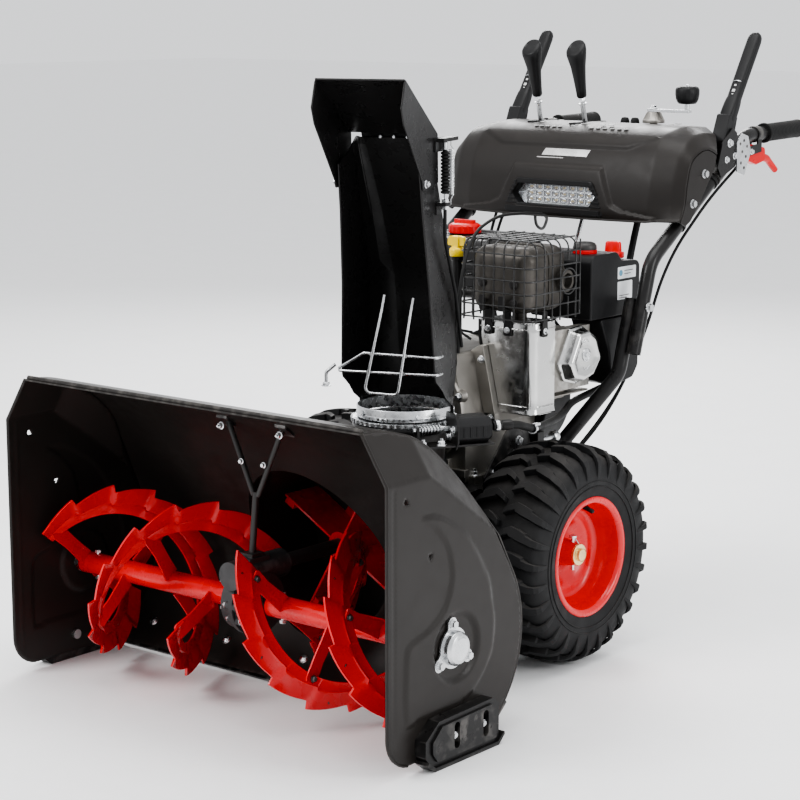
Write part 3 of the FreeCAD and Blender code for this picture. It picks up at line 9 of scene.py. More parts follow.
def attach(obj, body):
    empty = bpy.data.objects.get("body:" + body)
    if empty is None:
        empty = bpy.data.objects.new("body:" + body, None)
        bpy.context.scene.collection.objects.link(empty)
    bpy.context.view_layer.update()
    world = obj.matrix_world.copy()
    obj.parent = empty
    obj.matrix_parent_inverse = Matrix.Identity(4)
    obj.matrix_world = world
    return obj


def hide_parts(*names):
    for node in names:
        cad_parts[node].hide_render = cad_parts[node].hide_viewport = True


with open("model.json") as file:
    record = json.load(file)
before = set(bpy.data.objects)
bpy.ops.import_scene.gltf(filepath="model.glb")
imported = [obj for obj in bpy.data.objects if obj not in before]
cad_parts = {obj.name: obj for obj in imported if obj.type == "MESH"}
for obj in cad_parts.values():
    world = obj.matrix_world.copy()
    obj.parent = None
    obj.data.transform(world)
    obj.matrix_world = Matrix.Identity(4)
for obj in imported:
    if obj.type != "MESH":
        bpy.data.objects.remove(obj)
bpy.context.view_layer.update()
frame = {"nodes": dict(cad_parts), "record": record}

# Lengths below are millimetres measured from the front edge of the auger housing, as in part.py.
# HALF moves them to the row frame.
HALF = 781.0
MM = 0.001


# ---- materials ----------------------------------------------------------------------------------
def surface(name, color, rough, metal=0.0, grain=400.0, bump=0.1, depth=0.0004, vary=0.08, tint=0.06,
            wear=None, dust=0.0, coat=0.0, waves=0.0, blotch=9.0, shine=0.5):
    """Procedural finish: patchy colour and roughness, fine relief, worn edges and settled dust."""
    mat = bpy.data.materials.new(name)
    mat.use_nodes = True
    nodes, links = mat.node_tree.nodes, mat.node_tree.links
    shader = nodes["Principled BSDF"]
    shader.inputs["Metallic"].default_value = metal
    shader.inputs["Coat Weight"].default_value = coat
    shader.inputs["Specular IOR Level"].default_value = shine
    shader.inputs["Coat Roughness"].default_value = 0.08
    where = nodes.new("ShaderNodeTexCoord").outputs["Object"]

    def noise(scale, detail=4.0):
        """Noise value in object space."""
        node = nodes.new("ShaderNodeTexNoise")
        node.inputs["Scale"].default_value = scale
        node.inputs["Detail"].default_value = detail
        links.new(where, node.inputs["Vector"])
        return node.outputs["Fac"]

    def ranged(value, low, high, start=0.3, end=0.7):
        """Maps a value from one range to another."""
        node = nodes.new("ShaderNodeMapRange")
        node.inputs["From Min"].default_value = start
        node.inputs["From Max"].default_value = end
        node.inputs["To Min"].default_value = low
        node.inputs["To Max"].default_value = high
        links.new(value, node.inputs["Value"])
        return node.outputs["Result"]

    def mixed(factor, first, second):
        """Mixes two colours."""
        node = nodes.new("ShaderNodeMix")
        node.data_type = "RGBA"
        links.new(factor, node.inputs[0])
        for socket, value in ((node.inputs[6], first), (node.inputs[7], second)):
            if isinstance(value, tuple):
                socket.default_value = (*value, 1.0)
            else:
                links.new(value, socket)
        return node.outputs[2]

    def times(first, second):
        """Product of two values."""
        node = nodes.new("ShaderNodeMath")
        node.operation = "MULTIPLY"
        links.new(first, node.inputs[0])
        links.new(second, node.inputs[1])
        return node.outputs[0]

    patches = noise(blotch)
    light = tuple(min(1.0, c * (1 + tint) + 0.15 * tint * metal) for c in color)
    dark = tuple(c * (1 - tint) for c in color)
    shade = mixed(ranged(patches, 0.0, 1.0), dark, light)
    roughness = ranged(noise(blotch * 4.0, 6.0), max(0.03, rough - vary), min(1.0, rough + vary))
    if wear:
        edge = ranged(nodes.new("ShaderNodeNewGeometry").outputs["Pointiness"], 0.0, 1.0, 0.56, 0.66)
        shade = mixed(times(edge, ranged(noise(55.0), 0.0, 0.6, 0.45, 0.62)), shade, wear)
    if dust:
        split = nodes.new("ShaderNodeSeparateXYZ")
        links.new(nodes.new("ShaderNodeNewGeometry").outputs["Normal"], split.inputs[0])
        settled = times(ranged(split.outputs["Z"], 0.0, dust, 0.2, 1.0), ranged(noise(22.0, 8.0), 0.1, 1.0))
        shade = mixed(settled, shade, (0.30, 0.27, 0.24))
    links.new(shade, shader.inputs["Base Color"])
    links.new(roughness, shader.inputs["Roughness"])
    relief = nodes.new("ShaderNodeBump")
    relief.inputs["Strength"].default_value = bump
    relief.inputs["Distance"].default_value = depth
    links.new(noise(grain, 3.0), relief.inputs["Height"])
    last = relief
    if waves:
        broad = nodes.new("ShaderNodeBump")
        broad.inputs["Strength"].default_value = waves
        broad.inputs["Distance"].default_value = 0.002
        links.new(noise(14.0, 2.0), broad.inputs["Height"])
        links.new(relief.outputs["Normal"], broad.inputs["Normal"])
        last = broad
    links.new(last.outputs["Normal"], shader.inputs["Normal"])
    return mat


def clear(name, color, rough, ior=1.5):
    """Clear moulding with faint ripples."""
    mat = surface(name, color, rough, grain=60.0, bump=0.15, depth=0.001)
    shader = mat.node_tree.nodes["Principled BSDF"]
    shader.inputs["Transmission Weight"].default_value = 0.95
    shader.inputs["IOR"].default_value = ior
    return mat


MATS = {
    "housing_paint": surface("powder coat", (0.019, 0.0165, 0.015), 0.36, shine=0.26, bump=0.22, grain=900,
                             depth=0.0003,
                             vary=0.07, waves=0.05, wear=(0.13, 0.12, 0.11), dust=0.014),
    # The housing's own powder coat made darker for its inside: painted shade, standing in for the shade that falls
    # inside the housing.
    "inner_paint": surface("inner shaded coat", (0.015, 0.013, 0.013), 0.34, shine=0.25, bump=0.2, grain=800,
                           vary=0.10, waves=0.08,
                           dust=0.014),
    "black_paint": surface("black enamel", (0.011, 0.0105, 0.0105), 0.32, shine=0.3, bump=0.12, grain=700,
                           wear=(0.16, 0.15, 0.14), dust=0.016),
    "chute_paint": surface("chute coat", (0.012, 0.0115, 0.0115), 0.30, shine=0.3, bump=0.16, grain=900,
                           waves=0.06,
                           wear=(0.12, 0.12, 0.12), dust=0.014),
    "red_paint": surface("red enamel", (0.62, 0.002, 0.004), 0.28, bump=0.12, grain=500, depth=0.0003,
                         coat=0.25,
                         waves=0.10, wear=(0.30, 0.02, 0.02), tint=0.12),
    "zinc": surface("zinc plate", (0.66, 0.67, 0.68), 0.28, metal=1.0, bump=0.12, grain=300, vary=0.12,
                    tint=0.10,
                    blotch=30.0, wear=(0.45, 0.44, 0.42)),
    "shroud": surface("pressed zinc", (0.62, 0.62, 0.61), 0.2, metal=1.0, bump=0.14, grain=220, vary=0.10,
                      tint=0.08, blotch=16.0, waves=0.15),
    "dark_steel": surface("blackened steel", (0.035, 0.033, 0.032), 0.42, metal=0.4, bump=0.2, grain=500,
                          wear=(0.25, 0.24, 0.23)),
    "cast_black": surface("painted casting", (0.028, 0.028, 0.029), 0.5, bump=0.5, grain=260, depth=0.0007,
                          wear=(0.14, 0.14, 0.14)),
    "cast_alloy": surface("cast alloy", (0.30, 0.285, 0.262), 0.44, metal=0.9, bump=0.5, grain=260,
                          depth=0.0006,
                          vary=0.1, wear=(0.6, 0.59, 0.57), tint=0.14),
    "wire_black": surface("black wire", (0.014, 0.014, 0.014), 0.32, bump=0.1, wear=(0.12, 0.12, 0.12)),
    "muffler_steel": surface("heat steel", (0.075, 0.068, 0.060), 0.46, metal=0.7, bump=0.25, grain=300,
                             tint=0.25,
                             blotch=20.0, vary=0.14),
    "black_plastic": surface("black moulding", (0.010, 0.010, 0.0105), 0.42, shine=0.24, bump=0.35, grain=1300,
                             depth=0.0003,
                             dust=0.014),
    "dash_plastic": surface("console moulding", (0.017, 0.0148, 0.0135), 0.40, shine=0.22, bump=0.4, grain=1500,
                            depth=0.0003,
                            dust=0.04, vary=0.06),
    "red_plastic": surface("red moulding", (0.58, 0.002, 0.004), 0.32, shine=0.3, bump=0.1, grain=600,
                           tint=0.08),
    "yellow_plastic": surface("yellow moulding", (0.85, 0.60, 0.01), 0.35, bump=0.1, grain=600, tint=0.08),
    "rubber": surface("rubber", (0.011, 0.011, 0.011), 0.55, shine=0.2, bump=0.35, grain=900, dust=0.04),
    "tyre_rubber": surface("tyre rubber", (0.014, 0.014, 0.0145), 0.62, shine=0.22, bump=0.5, grain=500,
                           depth=0.0006,
                           vary=0.12, dust=0.12, tint=0.2, wear=(0.075, 0.072, 0.07)),
    "clear_lens": clear("lamp window", (0.93, 0.95, 0.97), 0.05),
    "reflector": surface("bright reflector", (0.86, 0.87, 0.88), 0.14, metal=1.0, bump=0.1, vary=0.05),
    "yellow_zinc": surface("yellow zinc", (0.78, 0.60, 0.32), 0.3, metal=1.0, bump=0.15, grain=300, tint=0.15,
                           blotch=60.0),
    "label": surface("blank label", (0.72, 0.74, 0.75), 0.4, bump=0.05, tint=0.03),
    "label_blue": surface("label panel", (0.10, 0.26, 0.36), 0.4, bump=0.05, tint=0.05),
    "badge": surface("badge plate", (0.62, 0.61, 0.60), 0.25, metal=0.8, bump=0.05, tint=0.04),
    "icon": surface("printed marks", (0.55, 0.55, 0.54), 0.5, bump=0.05, tint=0.05),
}


def dress_cad():
    """Every CAD node takes its slot's finish."""
    for entry in frame["record"]["subparts"]:
        obj = frame["nodes"][entry["node"]]
        look = MATS[entry["material_slot"]]
        if obj.material_slots:
            for slot in obj.material_slots:
                slot.material = look
        else:
            obj.data.materials.append(look)


dress_cad()
frame["nodes"]["cylinder_shroud"].material_slots[0].material = MATS["shroud"]


# ---- shapes -------------------------------------------------------------------------------------
def rounded(points, radii, steps=6):
    """Straight runs joined by arcs of the given radii, as a list of points."""
    points = [Vector(p) for p in points]
    if not isinstance(radii, (list, tuple)):
        radii = [radii] * len(points)
    route = [points[0]]
    for i in range(1, len(points) - 1):
        back = (points[i - 1] - points[i])
        ahead = (points[i + 1] - points[i])
        half = back.angle(ahead) / 2
        if radii[i] == 0 or half > 1.56:
            route.append(points[i])
            continue
        reach = min(radii[i] / math.tan(half), 0.48 * back.length, 0.48 * ahead.length)
        start = points[i] + back.normalized() * reach
        end = points[i] + ahead.normalized() * reach
        radius = reach * math.tan(half)
        centre = points[i] + (back.normalized() + ahead.normalized()).normalized() * (radius / math.sin(half))
        a, b = start - centre, end - centre
        swing = a.angle(b)
        for k in range(steps + 1):
            t = k / steps
            route.append(centre + (a * math.sin((1 - t) * swing) + b * math.sin(t * swing)) / math.sin(swing))
    route.append(points[-1])
    return route


def soft_outline(corners, radii, steps=5):
    """Closed flat outline with rounded corners."""
    if not isinstance(radii, (list, tuple)):
        radii = [radii] * len(corners)
    count = len(corners)
    outline = []
    for i in range(count):
        before, here, after = (Vector((*corners[k % count], 0)) for k in (i - 1, i, i + 1))
        arc = rounded([before.lerp(here, 0.5), here, here.lerp(after, 0.5)], [0, radii[i], 0], steps)
        outline += [(p.x, p.y) for p in arc[1:-1]]
    return outline


class Piece:
    """Collects geometry in millimetres, then becomes one object of the machine."""

    def __init__(self, place=None):
        self.bm = bmesh.new()
        self.place = place or Matrix.Identity(4)

    def verts(self, points):
        """Adds points as vertices."""
        return [self.bm.verts.new(self.place @ Vector(p)) for p in points]

    def face(self, verts):
        """Adds one face, unless it is degenerate or already there."""
        if len(set(verts)) > 2:
            try:
                return self.bm.faces.new(verts)
            except ValueError:
                return None

    def rings(self, rows, closed_ring=True, closed_path=False, caps=True):
        """Skin through rows of points with equal counts."""
        made = [self.verts(row) for row in rows]
        count = len(rows[0])
        last = len(made) if closed_path else len(made) - 1
        for i in range(last):
            a, b = made[i], made[(i + 1) % len(made)]
            for k in range(count if closed_ring else count - 1):
                self.face([a[k], a[(k + 1) % count], b[(k + 1) % count], b[k]])
        if caps and closed_ring and not closed_path:
            self.face(made[0][::-1])
            self.face(made[-1])
        return made

    def box(self, x, y, z):
        """Block between two values on each axis."""
        lo = [[x[0], y[0]], [x[1], y[0]], [x[1], y[1]], [x[0], y[1]]]
        self.rings([[(a, b, h) for a, b in lo] for h in z])

    def prism(self, outline, axis, low, high):
        """Straight extrusion of a flat outline along an axis."""
        def point(a, b, h):
            return {"x": (h, a, b), "y": (a, h, b), "z": (a, b, h)}[axis]
        self.rings([[point(a, b, h) for a, b in outline] for h in (low, high)])

    def lathe(self, profile, origin, direction, steps=48, closed=False):
        """Turns (along, radius) pairs about an axis."""
        turn = Vector(direction).normalized().to_track_quat("Z", "Y").to_matrix().to_4x4()
        turn = Matrix.Translation(origin) @ turn
        rows = []
        for i in range(steps):
            angle = 2 * math.pi * i / steps
            rows.append([turn @ Vector((r * math.cos(angle), r * math.sin(angle), along))
                         for along, r in profile])
        self.rings(rows, closed_ring=closed, closed_path=True)

    def tube(self, points, radius, sides=12, closed=False):
        """Sweeps a round section along a route."""
        points = [Vector(p) for p in points]
        count = len(points)
        rows = []
        side = None
        for i, p in enumerate(points):
            if closed:
                ahead = (points[(i + 1) % count] - points[i - 1]).normalized()
            else:
                ahead = (points[min(i + 1, count - 1)] - points[max(i - 1, 0)]).normalized()
            if side is None:
                side = ahead.orthogonal().normalized()
            side = (side - ahead * side.dot(ahead)).normalized()
            other = ahead.cross(side)
            r = radius(i / max(count - 1, 1)) if callable(radius) else radius
            turns = [2 * math.pi * k / sides for k in range(sides)]
            rows.append([p + (side * math.cos(a) + other * math.sin(a)) * r for a in turns])
        self.rings(rows, closed_path=closed)

    def bolt(self, centre, direction, across=12.0, height=6.0, flange=True, stud=0.0):
        """Flanged hexagon head, with its stud end if it is a nut."""
        centre, direction = Vector(centre), Vector(direction).normalized()
        if flange:
            self.lathe([(0, 0), (0, across * 0.78), (across * 0.1, across * 0.76), (across * 0.2, across * 0.5),
                        (across * 0.2, 0)], centre, direction, 24)
            centre = centre + direction * across * 0.12
        turn = Matrix.Translation(centre) @ direction.to_track_quat("Z", "Y").to_matrix().to_4x4()
        r = across / math.sqrt(3)

        def hexagon(scale, level):
            return [turn @ Vector((r * scale * math.cos(math.pi * k / 3), r * scale * math.sin(math.pi * k / 3),
                                   level))
                    for k in range(6)]
        self.rings([hexagon(1, 0), hexagon(1, height * 0.8), hexagon(0.86, height)])
        if stud:
            self.lathe([(height * 0.5, 0), (height * 0.5, across * 0.28), (height + stud - 0.6, across * 0.28),
                        (height + stud, across * 0.2), (height + stud, 0)], centre, direction, 16)

    def done(self, name, look, body, replaces=(), bevel=0.0, sharp=35.0, segments=2, merge=0.01,
             solid=0.0):
        """Turns the collected geometry into one named, finished object that rides its body."""
        bm = self.bm
        bmesh.ops.remove_doubles(bm, verts=bm.verts, dist=merge)
        bmesh.ops.recalc_face_normals(bm, faces=bm.faces)
        for vert in bm.verts:
            vert.co = Vector((vert.co.x * MM, (vert.co.y - HALF) * MM, vert.co.z * MM))
        mesh = bpy.data.meshes.new(name)
        bm.to_mesh(mesh)
        bm.free()
        mesh.materials.append(MATS[look])
        for poly in mesh.polygons:
            poly.use_smooth = True
        mesh.set_sharp_from_angle(angle=math.radians(sharp))
        obj = bpy.data.objects.new(name, mesh)
        bpy.context.scene.collection.objects.link(obj)
        if solid:
            thick = obj.modifiers.new("thickness", "SOLIDIFY")
            thick.thickness = solid * MM
            thick.offset = 0.0
        if bevel:
            soften = obj.modifiers.new("edges", "BEVEL")
            soften.width = bevel * MM
            soften.segments = segments
            soften.limit_method = "ANGLE"
            soften.angle_limit = math.radians(sharp)
            soften.harden_normals = True
        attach(obj, body)
        if replaces:
            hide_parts(*replaces)
        return obj


CHUTE = Matrix.Translation((113, 440, 0)) @ Matrix.Rotation(math.radians(18), 4, "Z")
SIDES = ((1, "right"), (-1, "left"))


# ---- wheels -------------------------------------------------------------------------------------
AXLE = (252.0, 715.0, 203.0)
LUGS = 28


def crown(x):
    """Radius of the tyre's tread blocks at a place across."""
    return 203.0 - 6.5 * (abs(x) / 60.0) ** 2.6


def make_tyre(sign, side):
    """Tyre with its two rows of lugs, sidewall ribs and beads."""
    piece = Piece(Matrix.Translation((sign * AXLE[0], AXLE[1], AXLE[2])))
    half = [(60, 101), (66, 99.8), (70, 101), (73, 106), (76, 113), (79, 124), (81.2, 136), (81.8, 148),
            (80.5, 160),
            (78.5, 168), (76, 175), (70, 182), (56, 187), (40, 189), (20, 190)]
    profile = [(-a, r) for a, r in half] + [(0, 190)] + [(a, r) for a, r in half[::-1]]
    piece.lathe(profile, (0, 0, 0), (1, 0, 0), 96)
    inner = [(60, 101), (70, 125), (72, 150), (60, 172), (0, 180), (-60, 172), (-72, 150), (-70, 125),
             (-60, 101)]
    piece.lathe(inner, (0, 0, 0), (1, 0, 0), 48)
    for ridge_x, ridge_r in ((80.8, 131.0), (81.6, 141.0)):
        for face in (-1, 1):
            loop = [(face * ridge_x, (ridge_r) * math.cos(2 * math.pi * k / 72),
                     ridge_r * math.sin(2 * math.pi * k / 72)) for k in range(72)]
            piece.tube(loop, 1.2, 6, closed=True)
    piece_lugs = Piece(Matrix.Translation((sign * AXLE[0], AXLE[1], AXLE[2])))
    for i in range(LUGS):
        for face in (-1, 1):
            start = 2 * math.pi * (i + (0.5 if face > 0 else 0.0)) / LUGS
            # across, sweep round the wheel, half length round the wheel, height of the top
            stations = [(3, 0.0, 6.5, 0), (14, -0.035, 8.0, 0), (26, -0.06, 8.5, 0), (27, -0.055, 12.0, 0),
                        (42, -0.035, 13.0, 0), (58, -0.01, 12.0, 0), (59, 0.0, 9.5, 0), (70, 0.02, 9.0, -2.5),
                        (79, 0.03, 8.5, -7), (83.5, 0.035, 8.0, -16), (84.0, 0.035, 6.5, -34),
                        (82.0, 0.035, 5.0, -46)]
            rows = []
            for across, sweep, half_length, drop in stations:
                top = crown(min(across, 76)) + drop
                base = min(top - 3.0, 186.0)
                if across > 78:
                    base = top - 3
                depth = across - 5 if across > 78 else across
                half_angle = 0.82 * half_length / 196.0
                row = []
                for side_turn, radius, x in ((-1.12, base, depth), (-0.92, top, across), (0.92, top, across),
                                             (1.12, base, depth)):
                    angle = start + sweep + side_turn * half_angle
                    row.append((face * x, radius * math.cos(angle), radius * math.sin(angle)))
                rows.append(row)
            piece_lugs.rings(rows)
    tyre_object = piece.done("tyre_body_" + side, "tyre_rubber", "wheel_" + side,
                             replaces=["tyre_" + side], sharp=60)
    piece_lugs.done("tyre_tread_" + side, "tyre_rubber", "wheel_" + side, bevel=1.0, sharp=25)
    return tyre_object


def make_rim(sign, side):
    """Dished rim with its hub, pin and valve."""
    x, y, z = AXLE
    place = Matrix.Translation((sign * x, y, z)) @ Matrix.Scale(sign, 4, Vector((1, 0, 0)))
    rim = Piece(place)
    outside = [(76, 111.5), (77.2, 110), (77.2, 106), (76.4, 101.5), (73, 98.2), (68, 96.4), (52, 95.2),
               (44, 92), (36, 88.4),
               (30, 86.6), (26, 84.0), (23.5, 78), (23, 70), (22, 64), (18, 58), (13, 50), (10.5, 42), (10, 30),
               (10, 20)]
    inside = [(7, 20), (7, 44), (10, 53), (15, 61), (19.5, 68), (20, 82), (12, 87.8), (-30, 87.8), (-44, 93),
              (-52, 97.5), (-73, 99.4), (-73.6, 112), (-76, 112), (-76.8, 108), (-76, 97.6), (-53, 94.8),
              (-32, 85.2),
              (12, 85.0)]
    rim.lathe(outside, (0, 0, 0), (1, 0, 0), 96)
    rim.lathe(inside, (0, 0, 0), (1, 0, 0), 96)
    rim.lathe([(12, 85), (18, 90), (30, 91), (52, 99.2), (73, 99.4), (73.4, 112), (76, 111.5)], (0, 0, 0),
              (1, 0, 0), 96)
    rim.lathe([(10, 27), (13, 25.5), (44, 21), (46, 20), (46, 13)], (0, 0, 0), (1, 0, 0), 48)
    rim.done("rim_body_" + side, "red_paint", "wheel_" + side, replaces=["rim_" + side], sharp=50)
    hub = Piece(place)
    hub.lathe([(-60, 0), (-60, 20), (8, 20)], (0, 0, 0), (1, 0, 0), 32)
    hub.lathe([(46, 12.2), (46, 19.6), (47, 20.3), (51, 20.3), (52, 19.5), (52, 12.0), (56, 12), (58, 11),
               (58, 0)],
              (0, 0, 0), (1, 0, 0), 40)
    hub.lathe([(-232, 0), (-232, 12), (58, 12)], (0, 0, 0), (1, 0, 0), 32)
    hub.done("axle_" + side, "yellow_zinc", "wheel_" + side, bevel=0.5)
    pin = Piece(place)
    pin.tube([(36, 0, -31), (36, 0, 30)], 3.4, 12)
    pin.lathe([(0, 0), (0, 7), (4, 7), (5, 5.5), (5, 0)], (36, 0, 30), (0, 0, 1), 20)
    loop = [(36 + 14 * math.sin(t), 4, 30 - 44 * t / math.pi) for t in [math.pi * k / 14 for k in range(15)]]
    pin.tube([(36, 0, 33), (36, 4, 33)] + loop + [(36, 0, -20)], 1.4, 8)
    pin.done("hub_pin_" + side, "zinc", "wheel_" + side, bevel=0.3)
    valve = Piece(place)
    valve.lathe([(0, 0), (0, 5.2), (10, 4.6), (12, 4.0), (12, 0)], (56, 0, 93), (1, 0, -0.35), 20)
    valve.lathe([(12, 3.4), (13, 4.2), (24, 4.2), (25.5, 3.2), (25.5, 0)], (56, 0, 93), (1, 0, -0.35), 20)
    valve.done("valve_" + side, "rubber", "wheel_" + side)


for SIGN, SIDE in SIDES:
    make_tyre(SIGN, SIDE)
    make_rim(SIGN, SIDE)


# ---- augers -------------------------------------------------------------------------------------
AUGER_Y, AUGER_Z = 165.0, 182.0
TEETH = 11
TURN = 310.0
PHASES = {1: 130.0, -1: 17.0}
INNER = 100.0


def make_auger(sign, side):
    """Toothed ribbons of one auger with their arms, tube and bolts."""
    place = Matrix.Translation((0, AUGER_Y, AUGER_Z)) @ Matrix.Scale(sign, 4, Vector((1, 0, 0)))
    ribbon = Piece(place)
    bolts = Piece(place)
    arms = Piece(place)

    def frame_at(part, phase):
        """Place along the tube and direction round it for a part of the ribbon's length."""
        angle = math.radians(phase + TURN * part)
        return 60.0 + 344.0 * part, math.cos(angle), math.sin(angle)

    for phase in (PHASES[sign], PHASES[sign] + 180.0):
        rows = []
        for tooth in range(TEETH):
            for k in range(8):
                step = (0.0, 0.14, 0.28, 0.42, 0.56, 0.7, 0.84, 0.965)[k]
                part = (tooth + step) / TEETH
                if tooth == TEETH - 1 and k == 7:
                    part = 1.0
                x, c, s = frame_at(part, phase)
                outer = 156.0 - 14.0 * min(1.0, step / 0.9)
                row = []
                across = ((0.0, 14.0, 0.0), (0.30, 9.8, 0.0), (0.38, 8.7, 2.2), (0.46, 7.5, 0.0),
                          (0.97, 0.4, 0.0), (1.0, 0.0, 0.0))
                for fraction, lean, rib in across:
                    radius = INNER + (outer - INNER) * fraction
                    row.append((x - 2.3 + lean + rib, radius * c, radius * s))
                for fraction, lean, rib in across[::-1]:
                    radius = INNER + (outer - INNER) * fraction
                    row.append((x + 2.3 + lean + rib, radius * c, radius * s))
                rows.append(row)
        ribbon.rings(rows)
        for part in (0.03, 0.34, 0.66, 0.97):
            x, c, s = frame_at(part, phase)
            out = Vector((0, c, s))
            flat = Vector((0, -s, c))
            rows = []
            for radius, width, shift in ((17, 16, 0), (40, 14, 1.5), (75, 13, 3.0), (92, 14, 2.0),
                                         (110, 15, 0.5), (115, 12, 0.0)):
                middle = out * radius + Vector((x + 13.0 - shift, 0, 0))
                rows.append([middle + flat * a + Vector((b, 0, 0)) for a, b in
                             ((-width, -2), (width, -2), (width, 2), (-width, 2))])
            arms.rings(rows)
            bolts.bolt(out * 106.0 + Vector((x + 15.2, 0, 0)), (1, 0, 0), 8.5, 4.5)
        for tooth in range(0, TEETH, 2):
            x, c, s = frame_at((tooth + 0.45) / TEETH, phase)
            seat = Vector((x + 2.2 + 2.5, 137 * c, 137 * s))
            bolts.lathe([(0, 0), (0, 3.4), (0.9, 2.6), (0.9, 0)], seat, (1, 0, 0), 14)
    tube = Piece(place)
    tube.lathe([(44, 12.6), (44, 19), (45, 20), (421, 20), (422, 19), (422, 12.6)], (0, 0, 0), (1, 0, 0), 48)
    body = "auger"
    ribbon.done("auger_ribbon_" + side, "red_paint", body, replaces=["auger_" + side], bevel=0.7,
                sharp=50)
    arms.done("auger_arms_" + side, "red_paint", body, bevel=0.8)
    tube.done("auger_tube_" + side, "red_paint", body)
    bolts.done("auger_bolts_" + side, "cast_black", body)
    pins = Piece(place)
    for x in (70.0, 388.0):
        pins.tube([(x, 0, -24), (x, 0, 24)], 4, 12)
        pins.bolt((x, 0, 22), (0, 0, 1), 11, 6, flange=False)
        pins.bolt((x, 0, -22), (0, 0, -1), 11, 6, flange=False)
    pins.done("shear_bolts_" + side, "zinc", body, bevel=0.4)


for SIGN, SIDE in SIDES:
    make_auger(SIGN, SIDE)


# ---- side plates --------------------------------------------------------------------------------
FOLD = [(0, 471), (50, 473), (104, 473), (135, 458), (161, 442), (187, 426), (214, 406), (242, 381), (264, 360)]
CRESCENT_OUT = [(88, 410), (125, 406), (161, 389), (201, 363), (229, 329), (251, 296), (262, 277), (271, 237),
                (277, 201), (272, 158), (259, 135), (245, 118), (223, 99), (199, 86)]
CRESCENT_IN = [(87, 406), (110, 392), (125, 380), (149, 350), (159, 318), (160, 294), (149, 263), (131, 242),
               (98, 224), (60, 213), (47, 200), (44, 160), (43, 124), (46, 80)]
BEARING = (174.0, 181.0)


def polyline_distance(p, line):
    """Shortest distance from a point to an open line."""
    best = 1e9
    for a, b in zip(line, line[1:]):
        ax, ay, bx, by = a[0], a[1], b[0], b[1]
        dx, dy = bx - ax, by - ay
        t = max(0.0, min(1.0, ((p[0] - ax) * dx + (p[1] - ay) * dy) / (dx * dx + dy * dy)))
        best = min(best, math.hypot(p[0] - ax - t * dx, p[1] - ay - t * dy))
    return best


def ease(t):
    """Smooth step from 0 to 1."""
    t = max(0.0, min(1.0, t))
    return t * t * (3 - 2 * t)


def smooth_line(points, steps=6):
    """Catmull-Rom curve through a few points."""
    out = []
    n = len(points)
    for i in range(n - 1):
        p0, p1, p2, p3 = points[max(i - 1, 0)], points[i], points[i + 1], points[min(i + 2, n - 1)]
        for k in range(steps):
            t = k / steps
            out.append(tuple(0.5 * (2 * p1[j] + (p2[j] - p0[j]) * t
                                    + (2 * p0[j] - 5 * p1[j] + 4 * p2[j] - p3[j]) * t * t
                                    + (3 * p1[j] - p0[j] - 3 * p2[j] + p3[j]) * t ** 3) for j in range(2)))
    out.append(tuple(points[-1]))
    return out


OUTER_CURVE = smooth_line(CRESCENT_OUT)
INNER_CURVE = smooth_line(CRESCENT_IN)
CRESCENT = OUTER_CURVE + INNER_CURVE[::-1]


def inside(p, polygon):
    """True when a point lies within a closed polygon."""
    hit = False
    for (ax, ay), (bx, by) in zip(polygon, polygon[1:] + polygon[:1]):
        if (ay > p[1]) != (by > p[1]) and p[0] < (bx - ax) * (p[1] - ay) / (by - ay) + ax:
            hit = not hit
    return hit


def pressed(y, z):
    """How far the side plate's pressing stands out at a place, in millimetres."""
    height = 0.0
    near = min(polyline_distance((y, z), OUTER_CURVE), polyline_distance((y, z), INNER_CURVE))
    signed = near if inside((y, z), CRESCENT) else -near
    height += 3.2 * ease((signed + 1.0) / 6.0)
    bearing = 57.0 - math.hypot(y - BEARING[0], z - BEARING[1])
    height *= 1.0 - ease((bearing + 3) / 6.0)
    height -= 2.6 * ease((bearing + 1.0) / 6.0)
    height -= 1.2 * max(0.0, 1 - ((y - 18.5) / 2.6) ** 2) if z < 468 else 0.0
    return height


def plate_x(y, z):
    """Depth of the side plate's pressing at a place on it."""
    lean = max(0.0, z - 471.0, z - (545.8 - 0.7 * y))
    soft = lean if lean > 4 else 0.5 * lean
    return 437.0 - 0.6456 * soft


def plate_outline():
    """Closed outline of a side plate, seen from the side."""
    y1, z1, r1 = 9.0, 270.0, 277.0
    y2, z2, r2 = 165.0, 180.0, 187.0
    arc = lambda y, z, r, a0, a1, n: [(y + r * math.cos(math.radians(a0 + (a1 - a0) * k / n)),
                                       z + r * math.sin(math.radians(a0 + (a1 - a0) * k / n))) for k in range(n + 1)]
    low = math.degrees(math.asin((14.0 - z2) / r2))
    outline = [(0.0, 547.0)] + arc(y1, z1, r1, 90, 30, 24) + arc(y2, z2, r2, 30, low, 40)
    toe = arc(55, 69, 55, -90, -180, 10)
    outline += [(200.0, 14.0), (150.0, 14.0), (100.0, 14.0)] + toe
    outline += [(0.0, 69 + 40.0 * k) for k in range(1, 12)]
    return outline


